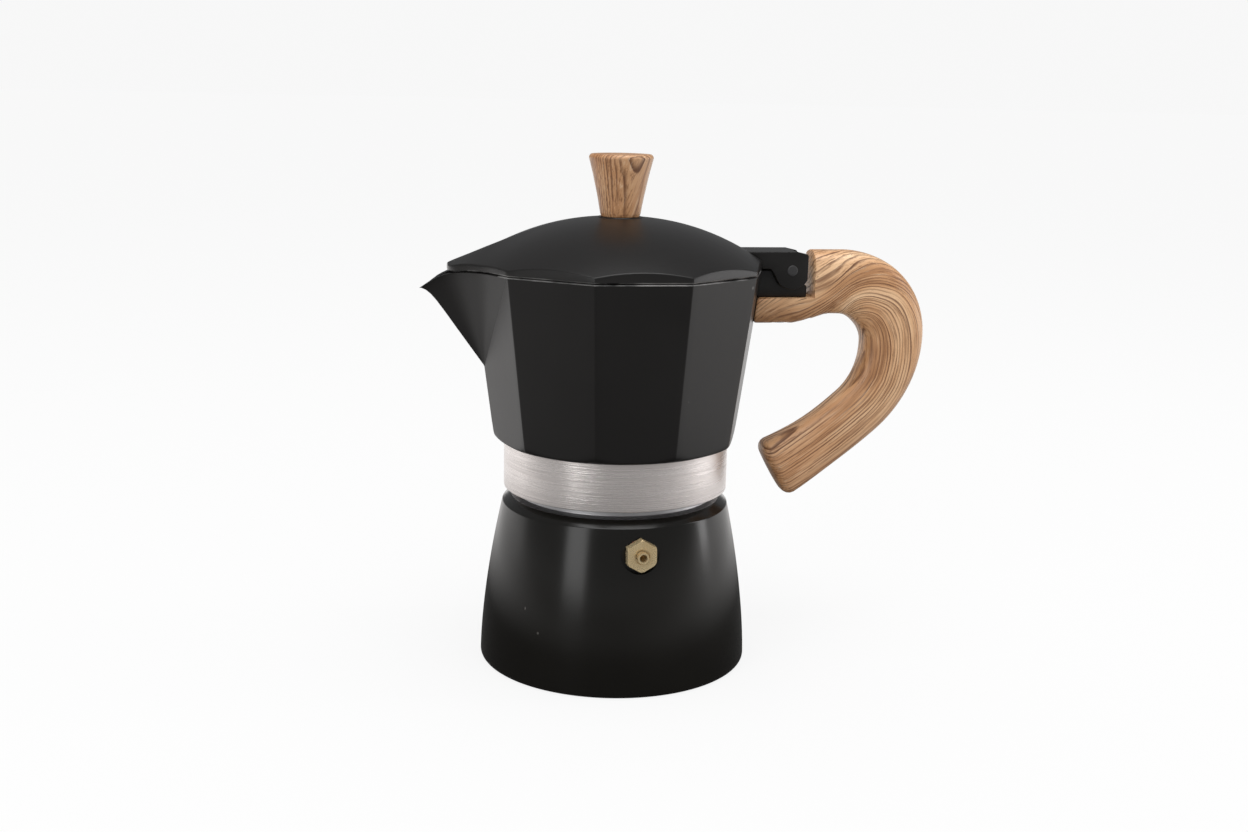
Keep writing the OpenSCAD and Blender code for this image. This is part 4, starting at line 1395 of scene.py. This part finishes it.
@dataclass
class Handle:
    """The open handle: a tongue under the lug, a shoulder and a hooked grip."""

    tongue_x: float = 52.65
    shoulder_x: float = 71.5
    under_z: float = 126.1
    lug_z: float = 136.2
    arm_z: float = 141.3
    arm: float = 11.5
    top_r: float = 21.5
    back_r: float = 37.0
    back_a: float = 48.0
    grip_r: float = 160.0
    grip_a: float = 13.0
    width: float = 0.74
    end_round: float = 3.6
    screw_x: float = 60.0
    bore_r: float = 2.7
    counterbore_r: float = 4.7
    front_sweep: float = 0.325
    front_slope: float = 0.135
    grain_lean: float = 0.75
    section_steps: int = 48
    out_power: float = 0.72
    side_power: float = 0.66
    half_heights: Tuple[Point2, ...] = (
        (0, 11.8), (45, 12.45), (90, 11.6), (120, 10.6), (138, 10.2), (145, 10.3), (151, 11.5)
    )

    @property
    def end_back(self) -> float:
        """Angle at which the back's arc ends, in degrees."""
        return 90 + self.back_a

    def centres(self) -> Tuple[Vector, Vector, Vector]:
        """Centres of the arcs of the top, the back and the grip."""
        top = Vector((self.shoulder_x + self.arm, 0, self.arm_z - self.top_r))
        back = top + Vector((self.top_r - self.back_r, 0, 0))
        return top, back, back + ray(self.end_back) * (self.back_r - self.grip_r)

    def centre(self, a: float) -> Vector:
        """Centre of the grip after its line has turned by a degrees."""
        top, back, grip = self.centres()
        if a <= 90:
            return top + ray(a) * self.top_r
        if a <= self.end_back:
            return back + ray(a) * self.back_r
        return grip + ray(a) * self.grip_r

    def section(self, centre: Vector, a: float, low: float, high: float, half_y: float) -> Row:
        """Rounded cross-section of the handle.

        Args:
            centre: Point on the handle's line.
            a: Angle that the line has turned, in degrees.
            low: Distance from the line to the section's inner edge.
            high: Distance from the line to the section's outer edge.
            half_y: Half the width across the pot.

        Returns:
            The section's points.
        """
        middle, half = (high - low) / 2, (high + low) / 2
        row: Row = []
        for i in range(self.section_steps):
            t = FULL_TURN * i / self.section_steps
            s, c = math.sin(t), math.cos(t)
            u = math.copysign(abs(s) ** self.out_power, s) * half + middle
            v = math.copysign(abs(c) ** self.side_power, c) * half_y
            row.append(centre + ray(a) * u + Vector((0, v, 0)))
        return row

    def tongue(self, x: float, inset: float, low_z: float) -> Row:
        """Row of the tongue under the lug, whose front follows the chamber's side.

        Args:
            x: Distance from the pot's axis.
            inset: How far the row is drawn inwards.
            low_z: Height of the tongue's underside.

        Returns:
            The closed row.
        """
        full, zc = self.half_heights[0][1], self.arm_z
        half_w = full * self.width
        row = self.section(Vector((x, 0, zc)), 0, zc - low_z - inset, full - inset, half_w - inset)
        front = max(0.0, 1 - (x - self.tongue_x) / 4)
        flat = [Vector((p.x, p.y, min(p.z, self.lug_z - inset * 0.6))) for p in row]
        sweep, slope = self.front_sweep * front, self.front_slope * front
        return [Vector((p.x - abs(p.y) * sweep + (p.z - self.lug_z) * slope, p.y, p.z)) for p in flat]

    def arm_rows(self) -> List[Row]:
        """Rows of the tongue and the shoulder, up to where the handle starts to turn."""
        full, zc = self.half_heights[0][1], self.arm_z
        half_w = full * self.width
        fronts = ((1.0, 0.0), (0.25, 0.05), (0.06, 0.25), (0.0, 0.6))
        rows = [self.tongue(self.tongue_x + dx, inset, self.under_z) for inset, dx in fronts]
        rows += [self.tongue(x, 0.0, self.under_z) for x in (57.0, 61.0, 65.0)]
        rows.append(self.tongue(68.5, 0.0, self.under_z + 0.75))
        step_low = self.under_z + 1.7
        rows.append(self.tongue(self.shoulder_x - 0.05, 0.0, step_low))
        low = zc - step_low
        for dx, inset in ((0.0, 1.0), (0.25, 0.3), (0.8, 0.0)):
            where = Vector((self.shoulder_x + dx, 0, zc))
            plain = self.section(where, 0, low, full, half_w)
            drawn = self.section(where, 0, low, full - inset, half_w - inset * 0.4)
            rows.append([b if a.z > self.lug_z else a for a, b in zip(plain, drawn)])
        for t in spread(6)[1:-1]:
            x = mix(self.shoulder_x + 0.8, self.shoulder_x + self.arm, t)
            low = interpolate([(0, zc - step_low), (0.5, zc - 129.45), (1, full)], t)
            rows.append(self.section(Vector((x, 0, zc)), 0, low, full, half_w))
        return rows

    def rows(self) -> List[Row]:
        """Rows of the whole handle from the tongue's front face to the grip's end."""
        rows = self.arm_rows()
        last = self.end_back + self.grip_a
        for a in spread(29, 0, 90) + spread(17, 90, self.end_back)[1:] + spread(11, self.end_back, last)[1:]:
            half = interpolate(self.half_heights, a)
            rows.append(self.section(self.centre(a), a, half, half, half * self.width))
        half = interpolate(self.half_heights, last)
        end = self.centre(last)
        ahead = Vector((math.cos(math.radians(last)), 0, -math.sin(math.radians(last))))
        for b in (20, 40, 60, 75, 90):
            inset = self.end_round * (1 - math.cos(math.radians(b)))
            step = ahead * self.end_round * math.sin(math.radians(b))
            low = half - inset
            rows.append(self.section(end + step, last, low, low, half * self.width - inset))
        tip = end + ahead * (self.end_round + 0.35)
        return [*rows, self.section(tip, last, half * 0.35, half * 0.35, half * 0.2)]

    def along(self, p: Vector) -> Vector:
        """Place of a point in the grain's space.

        Args:
            p: A point of the handle, in millimetres.

        Returns:
            Distance along the handle's line, distance out from it, and y.
        """
        top, back, grip = self.centres()
        flat, lean = Vector((p.x, 0, p.z)), self.grain_lean
        if p.x < top.x and p.z > top.z:
            s = p.x - top.x
            return Vector((s, p.z - self.arm_z - lean * smooth_min(s, 4, 18), p.y))
        a = math.degrees(math.atan2(p.x - top.x, p.z - top.z))
        if a <= 90 and p.z > top.z:
            s = self.top_r * math.radians(a)
            return Vector((s, (flat - top).length - self.top_r - lean * smooth_min(s, 4, 18), p.y))
        a = math.degrees(math.atan2(p.x - back.x, p.z - back.z)) % 360
        run = self.top_r * math.pi / 2
        if a <= self.end_back:
            run += self.back_r * math.radians(a - 90)
            return Vector((run, (flat - back).length - self.back_r - lean * 4, p.y))
        a = math.degrees(math.atan2(p.x - grip.x, p.z - grip.z)) % 360
        run += self.back_r * math.radians(self.back_a) + self.grip_r * math.radians(a - self.end_back)
        return Vector((run, (flat - grip).length - self.grip_r - lean * 4, p.y))

    def build(self, palette: Palette) -> None:
        """Builds the handle, drills it for its screw and lays out its grain."""
        bm = sweep_rows(self.rows())
        clean(bm)
        start = Vector((self.screw_x, 0, self.under_z - 5))
        bore = cylinder_along(start, up(1), 20, self.bore_r)
        counterbore = cylinder_along(start, up(1), 9.0, self.counterbore_r)
        bm = cut_away(bm, [bore, counterbore])
        layer = bm.verts.layers.float_vector.new("grain")
        for v in bm.verts:
            v[layer] = self.along(v.co / MM) * MM
        to_object("handle_grip", bm, [palette["handle"]], Body.COLLECTOR, ["handle"])


@dataclass
class Lid:
    """The domed lid with its beak, hinge ears, and the wooden-looking knob."""

    plan: Plan = field(default_factory=Plan)
    heights: Heights = field(default_factory=Heights)
    gap: float = 0.3
    edge_h: float = 1.8
    wall: float = 2.4
    power: float = 2.25
    pad_r: float = 8.1
    crown_inset: float = 0.55
    beak_x: float = 62.1
    beak_half: float = 3.2
    nose_z: float = 145.3
    ear_in: float = 6.5
    ear_out: float = 8.5
    ear_r: float = 6.9
    tab_hollow_r: float = 5.1
    ridge: Tuple[Point2, ...] = (
        (12, 162.6), (20, 162.2), (28, 160.9), (34, 159.1), (43, 155.9),
        (48, 153.95), (53.3, 151.75), (58.9, 149.45), (62.1, 148.15),
    )
    beak_sides: Tuple[Point2, ...] = ((43.5, 147.9), (50, 148.9), (56, 148.8), (62.1, 147.6))
    lip_table: Tuple[Point2, ...] = (
        (43.5, 31.6), (47.4, 24.4), (50.6, 18.9), (56, 12.2), (60, 7.6), (62.1, 3.2)
    )

    @property
    def foot(self) -> float:
        """Height of the lid's lower edge."""
        return self.plan.rim_z + self.gap

    def dome(self, r: float) -> float:
        """Height of the dome at radius r."""
        fall = self.heights.dome - self.foot - self.edge_h
        return self.heights.dome - fall * (r / self.plan.rim_r) ** self.power

    def lip_rows(self) -> Row:
        """Points of the lid's edge over the spout, on the +Y side."""
        kept = [p for p in Spout(self.plan).lips() if p.x > -self.beak_x + 0.4]
        nose = Vector((-self.beak_x, self.beak_half, self.nose_z))
        path = curve_through([*kept[::3], nose], self.plan.spout_steps - 3)
        row = [Vector((p.x, p.y, p.z + self.gap)) for p in path]
        row[-1].z = self.nose_z
        return row + [Vector((-self.beak_x, self.beak_half * share, self.nose_z)) for share in (0.72, 0.36, 0)]

    def edge_row(self) -> Row:
        """Closed row of the lid's lower outer edge."""
        plan = self.plan
        radius = plan.rim_r + 0.1
        edge = plan.corner_point(plan.spout_corner, radius, self.foot)
        return plan.row(self.foot, radius, plan.corner_round, NO_LIMIT, edge, self.lip_rows()[1:])

    def lip_half(self, x: float) -> float:
        """Half the beak's width at a distance x towards the spout."""
        if x <= self.lip_table[0][0]:
            return self.lip_table[0][1] + (self.lip_table[0][0] - x) * 1.2
        return interpolate(self.lip_table, x)

    def roof(self, p: Vector) -> float:
        """Height of the beak's roof above a plan point, or a very low value off it."""
        x = -p.x
        if x < self.ridge[0][0]:
            return -1e3
        width = self.lip_half(x)
        if x < self.lip_table[0][0]:
            side = self.dome(math.hypot(x, width)) - 0.5
        else:
            side = interpolate(self.beak_sides, x)
        share = abs(p.y) / max(width, 0.5)
        return mix(interpolate(self.ridge, x), side, share**1.25)

    def top_z(self, p: Vector) -> float:
        """Height of the lid's top above a plan point."""
        return smooth_max(self.dome(math.hypot(p.x, p.y)), self.roof(p), 1.2)

    @staticmethod
    def shrunk(e: Vector, inset: float, lift: float = 0.0) -> Vector:
        """Point drawn in towards the axis by inset, and lifted."""
        r = math.hypot(e.x, e.y)
        return Vector((e.x * (r - inset) / r, e.y * (r - inset) / r, e.z + lift))

    def top_point(self, e: Vector, t: float) -> Vector:
        """Point of the top, a share t of the way from the pad to the edge point e."""
        p = outward(e) * mix(self.pad_r, math.hypot(e.x, e.y) - self.crown_inset, t)
        p.z = self.top_z(p)
        return p

    def inner_point(self, e: Vector, t: float) -> Vector:
        """Point of the inside, a share t of the way from the axis to the edge point e."""
        flat = outward(e) * (math.hypot(e.x, e.y) - 2.9) * t
        roof = min(self.top_z(flat) - self.wall, self.heights.dome - self.wall)
        return Vector((flat.x, flat.y, max(roof, e.z + 0.32)))

    def rows(self) -> List[Row]:
        """Rows from under the knob over the dome, round the edge and back inside."""
        edge = self.edge_row()
        rows = [[outward(e) * r + up(self.heights.dome) for e in edge] for r in (2.2, self.pad_r)]
        for t in [0.004, 0.03, 0.07, *spread(30, 0.12, 0.97), 0.985, 1.0]:
            rows.append([self.top_point(e, t) for e in edge])
        crown = rows[-1]
        for k in (1, 2, 3):
            a = math.radians(30 * k)
            drop = 0.45 * (1 - math.cos(a))
            rows.append([
                outward(e) * (math.hypot(c.x, c.y) + self.crown_inset * math.sin(a)) + up(c.z - drop - 0.1 * k)
                for e, c in zip(edge, crown)
            ])
        rows.append([Vector((e.x, e.y, e.z + 0.35)) for e in edge])
        for inset, lift in ((0.3, 0.0), (2.5, 0.0), (2.8, 0.3)):
            rows.append([self.shrunk(e, inset, lift) for e in edge])
        for t in [*spread(18, 0.985, 0.2), 0.12, 0.06]:
            rows.append([self.inner_point(e, t) for e in edge])
        return rows

    def build(self, palette: Palette) -> None:
        """Builds the lid's shell, its tab and ears, and the knob."""
        bm = sweep_rows(self.rows())
        clean(bm, 1.5e-5)
        for f in bm.faces:
            c = f.calc_center_median() / MM
            outwards = (f.normal.x * c.x + f.normal.y * c.y) / max(math.hypot(c.x, c.y), 1e-6)
            if (f.normal.z < -0.2 or outwards < -0.3) and outwards < 0.3:
                f.material_index = 1
            # Painted highlight: the lid's lower edge bevel gets the grey rim colour as a thin bright line
            elif f.normal.z < -0.3 and outwards > 0.3 and c.x > -56:
                f.material_index = 2
        finishes = [palette["satin"], palette["cast"], palette["worn"]]
        to_object("lid_shell", bm, finishes, Body.LID, ["lid"])
        self.build_ears(palette)
        self.build_knob(palette)

    def build_ears(self, palette: Palette) -> None:
        """Builds the tab and the two ears that hold the hinge pin."""
        x, z = PIN
        top, foot = z + self.ear_r, self.foot
        inside = [(45.0, top), (45.0, top - 1.1), (51.05, foot + 1.7), (51.1, foot)]
        arc = arc_points(x, z, self.ear_r, 19, -135, -31)
        ear = [
            *inside, (54.5, foot), (55.4, foot - 1.2), *arc,
            (x + 6.0, z + 5.5), (x + 5.4, z + 6.0), (x + 1.5, top),
        ]
        hollow = arc_points(x, z, self.tab_hollow_r, 9, 80, 175)
        tab = [*inside, (53.9, foot), (54.2, foot + 0.3), *reversed(hollow), (x + 1.5, z + 5.0), (x + 1.5, top)]
        half = self.ear_in + 0.4
        for name, outline, y0, y1, bevel in (
            ("ear_near", ear, -self.ear_out, -self.ear_in, 0.35),
            ("ear_far", ear, self.ear_in, self.ear_out, 0.35),
            ("hinge_tab", tab, -half, half, 0.0),
        ):
            to_object(name, slab(outline, y0, y1, bevel), [palette["satin"]], Body.LID)

    def build_knob(self, palette: Palette) -> None:
        """Builds the knob and dresses its screw, insert and washer."""
        z = self.heights.dome
        corners = [
            (3.2, 10.0, 0), (3.2, 0.05, 0), (6.9, 0.05, 0.3), (7.3, 1.2, 0.5), (8.35, 7.0, 8),
            (10.1, 15.0, 8), (11.7, 21.2, 1.2), (10.9, 22.2, 0.9), (6.0, 22.4, 2), (0, 22.4, 0),
        ]
        profile = rounded_outline([(r, z + lift, turn) for r, lift, turn in corners], 6)
        bm = lathe([(0, z + 10.0), *profile], steps=96, closed=False)
        to_object("knob_grip", bm, [palette["knob"]], Body.LID, ["knob"])
        palette.dress("brass", "knob_insert")
        palette.dress("steel", "knob_screw", "knob_washer")


# ---- studio ----------------------------------------------------------------


@dataclass
class Studio:
    """Pale floor, soft lights and the camera."""

    camera_at: Point3 = (-88.2, -532.5, 208.1)
    pitch: float = math.radians(12.22)
    yaw: float = math.radians(0.311)
    roll: float = math.radians(1.218)
    azimuth: float = math.radians(-9.4)
    lens: float = 42.94
    white: float = 0.935
    floor_r: float = 40.0
    floor_glow: float = 0.84
    floor_fill: float = 0.55
    sky_fill: float = 1.0
    sky_mirror: float = 0.24
    # Painted light on the floor for reflections: a pool brighter towards the back, painted shade close round
    # the pot, more glow far off
    painted_pool_span: Point2 = (-0.33, 0.05)
    painted_pool_light: Point2 = (0.10, 1.0)
    painted_shade_span: Point2 = (0.12, 0.26)
    painted_far_glow_span: Point2 = (0.42, 0.9)

    def build(self) -> None:
        """Builds the floor, the surroundings, the lights and the camera."""
        bpy.context.scene.view_settings.view_transform = "Standard"
        self.build_floor()
        self.build_world()
        self.build_lights()
        self.build_camera()

    def build_floor(self) -> None:
        """Builds a wide pale floor that fades into the surroundings, with a painted pool of light and a painted
        shadow round the pot that only reflections see.
        """
        bm = bmesh.new()
        bmesh.ops.create_circle(bm, cap_ends=True, segments=64, radius=self.floor_r)
        mesh = mesh_from("floor", bm)
        floor = put("floor", mesh)
        material = bpy.data.materials.new("pale_floor")
        material.use_nodes = True
        n = Nodes(material.node_tree)
        n.tree.nodes.clear()
        out = n.add("ShaderNodeOutputMaterial")
        where = n.here()
        x, y, _ = n.add("ShaderNodeSeparateXYZ", inputs={0: where}).outputs
        # Painted light seen only by shiny surfaces: a pool of light towards the back, painted shadow near the
        # pot, and extra glow far away
        painted_pool = n.remap(n.plus(y, n.times(x, 0.3)), *self.painted_pool_span, *self.painted_pool_light)
        reach = n.add("ShaderNodeVectorMath", operation="LENGTH", inputs={0: where}).outputs["Value"]
        painted_pool = n.times(painted_pool, n.remap(reach, *self.painted_shade_span, 0.08, 1.0))
        painted_pool = n.plus(painted_pool, n.remap(reach, *self.painted_far_glow_span, 0.0, 0.4))
        plain = n.add("ShaderNodeBsdfDiffuse", inputs={"Color": (0.10, 0.10, 0.10, 1)})
        glow = n.add("ShaderNodeEmission", inputs={"Color": WHITE, "Strength": self.floor_glow})
        shown = n.add("ShaderNodeAddShader", inputs={0: plain.outputs[0], 1: glow.outputs[0]})
        soft = n.add("ShaderNodeEmission", inputs={"Color": WHITE, "Strength": self.floor_fill})
        mirror = n.add("ShaderNodeEmission", inputs={"Color": (1, 0.98, 0.97, 1), "Strength": painted_pool})
        self.by_ray(n, shown, soft, mirror, out)
        mesh.materials.append(material)

    def build_world(self) -> None:
        """Makes a dim grey surround that is seen as white from the camera."""
        world = bpy.data.worlds.new("studio")
        bpy.context.scene.world = world
        world.use_nodes = True
        n = Nodes(world.node_tree)
        n.tree.nodes.clear()
        out = n.add("ShaderNodeOutputWorld")
        skies = [
            n.add("ShaderNodeBackground", inputs={"Color": colour, "Strength": strength})
            for colour, strength in (
                (WHITE, self.white), (WHITE, self.sky_fill), ((0.97, 0.98, 1.0, 1), self.sky_mirror)
            )
        ]
        self.by_ray(n, *skies, out)

    @staticmethod
    def by_ray(n: Nodes, shown: Node, soft: Node, mirror: Node, out: Node) -> None:
        """Joins three shaders by the kind of ray that meets them.

        Args:
            n: The tree's helper.
            shown: What the camera sees.
            soft: What lights matt surfaces.
            mirror: What shiny surfaces reflect.
            out: The tree's output node.
        """
        path = n.add("ShaderNodeLightPath").outputs
        values = {0: path["Is Glossy Ray"], 1: soft.outputs[0], 2: mirror.outputs[0]}
        inner = n.add("ShaderNodeMixShader", inputs=values)
        values = {0: path["Is Camera Ray"], 1: inner.outputs[0], 2: shown.outputs[0]}
        n.feed(out, {0: n.add("ShaderNodeMixShader", inputs=values).outputs[0]})

    @staticmethod
    def add_light(name: str, place: Point3, size: Point2, power: float, colour: Colour = (1, 1, 1)) -> None:
        """Adds one soft rectangular light that faces the pot.

        Args:
            name: The light's name.
            place: Where it stands, in metres.
            size: Its width and height.
            power: Its power in watts.
            colour: Its colour.
        """
        lamp = bpy.data.lights.new(name, "AREA")
        lamp.shape = "RECTANGLE"
        lamp.size, lamp.size_y = size
        lamp.energy = power
        lamp.color = colour
        obj = put(name, lamp)
        obj.location = place
        obj.rotation_mode = "QUATERNION"
        obj.rotation_quaternion = (up(0.1) - Vector(place)).to_track_quat("-Z", "Y")

    def build_lights(self) -> None:
        """Places the top, side and front softboxes."""
        self.add_light("top_box", (0.0, -0.25, 1.3), (1.0, 0.8), 8)
        self.add_light("right_box", (1.1, -0.09, 0.38), (0.22, 0.9), 2.6, (1.0, 0.99, 1.0))
        self.add_light("left_box", (-0.79, -0.82, 0.40), (0.42, 0.9), 3.2)

    def build_camera(self) -> None:
        """Places the camera."""
        data = bpy.data.cameras.new("camera")
        data.sensor_width = 36.0
        data.lens = self.lens
        data.clip_start, data.clip_end = 0.02, 100
        # Right, up and back axes in the camera's own upright frame, then turned to the pot's
        cy, sy = math.cos(self.yaw), math.sin(self.yaw)
        cp, sp = math.cos(self.pitch), math.sin(self.pitch)
        cr, sr = math.cos(self.roll), math.sin(self.roll)
        forward = Vector((sy * cp, cy * cp, -sp))
        right = Vector((cy, -sy, 0))
        above = right.cross(forward)
        turn = Matrix.Rotation(self.azimuth, 3, "Z")
        rolled = (right * cr + above * sr, above * cr - right * sr, -forward)
        camera = put("camera", data)
        camera.rotation_mode = "QUATERNION"
        camera.rotation_quaternion = Matrix([turn @ axis for axis in rolled]).transposed().to_quaternion()
        camera.location = Vector(self.camera_at) * MM
        bpy.context.scene.camera = camera


def main() -> None:
    """Builds the pot and its studio in order."""
    logging.basicConfig(level=logging.INFO, format="%(name)s: %(message)s")
    palette = Palette()
    Boiler().build(palette)
    Funnel().build(palette)
    Collector().build(palette)
    Handle().build(palette)
    Lid().build(palette)
    Studio().build()


if __name__ == "__main__":
    main()
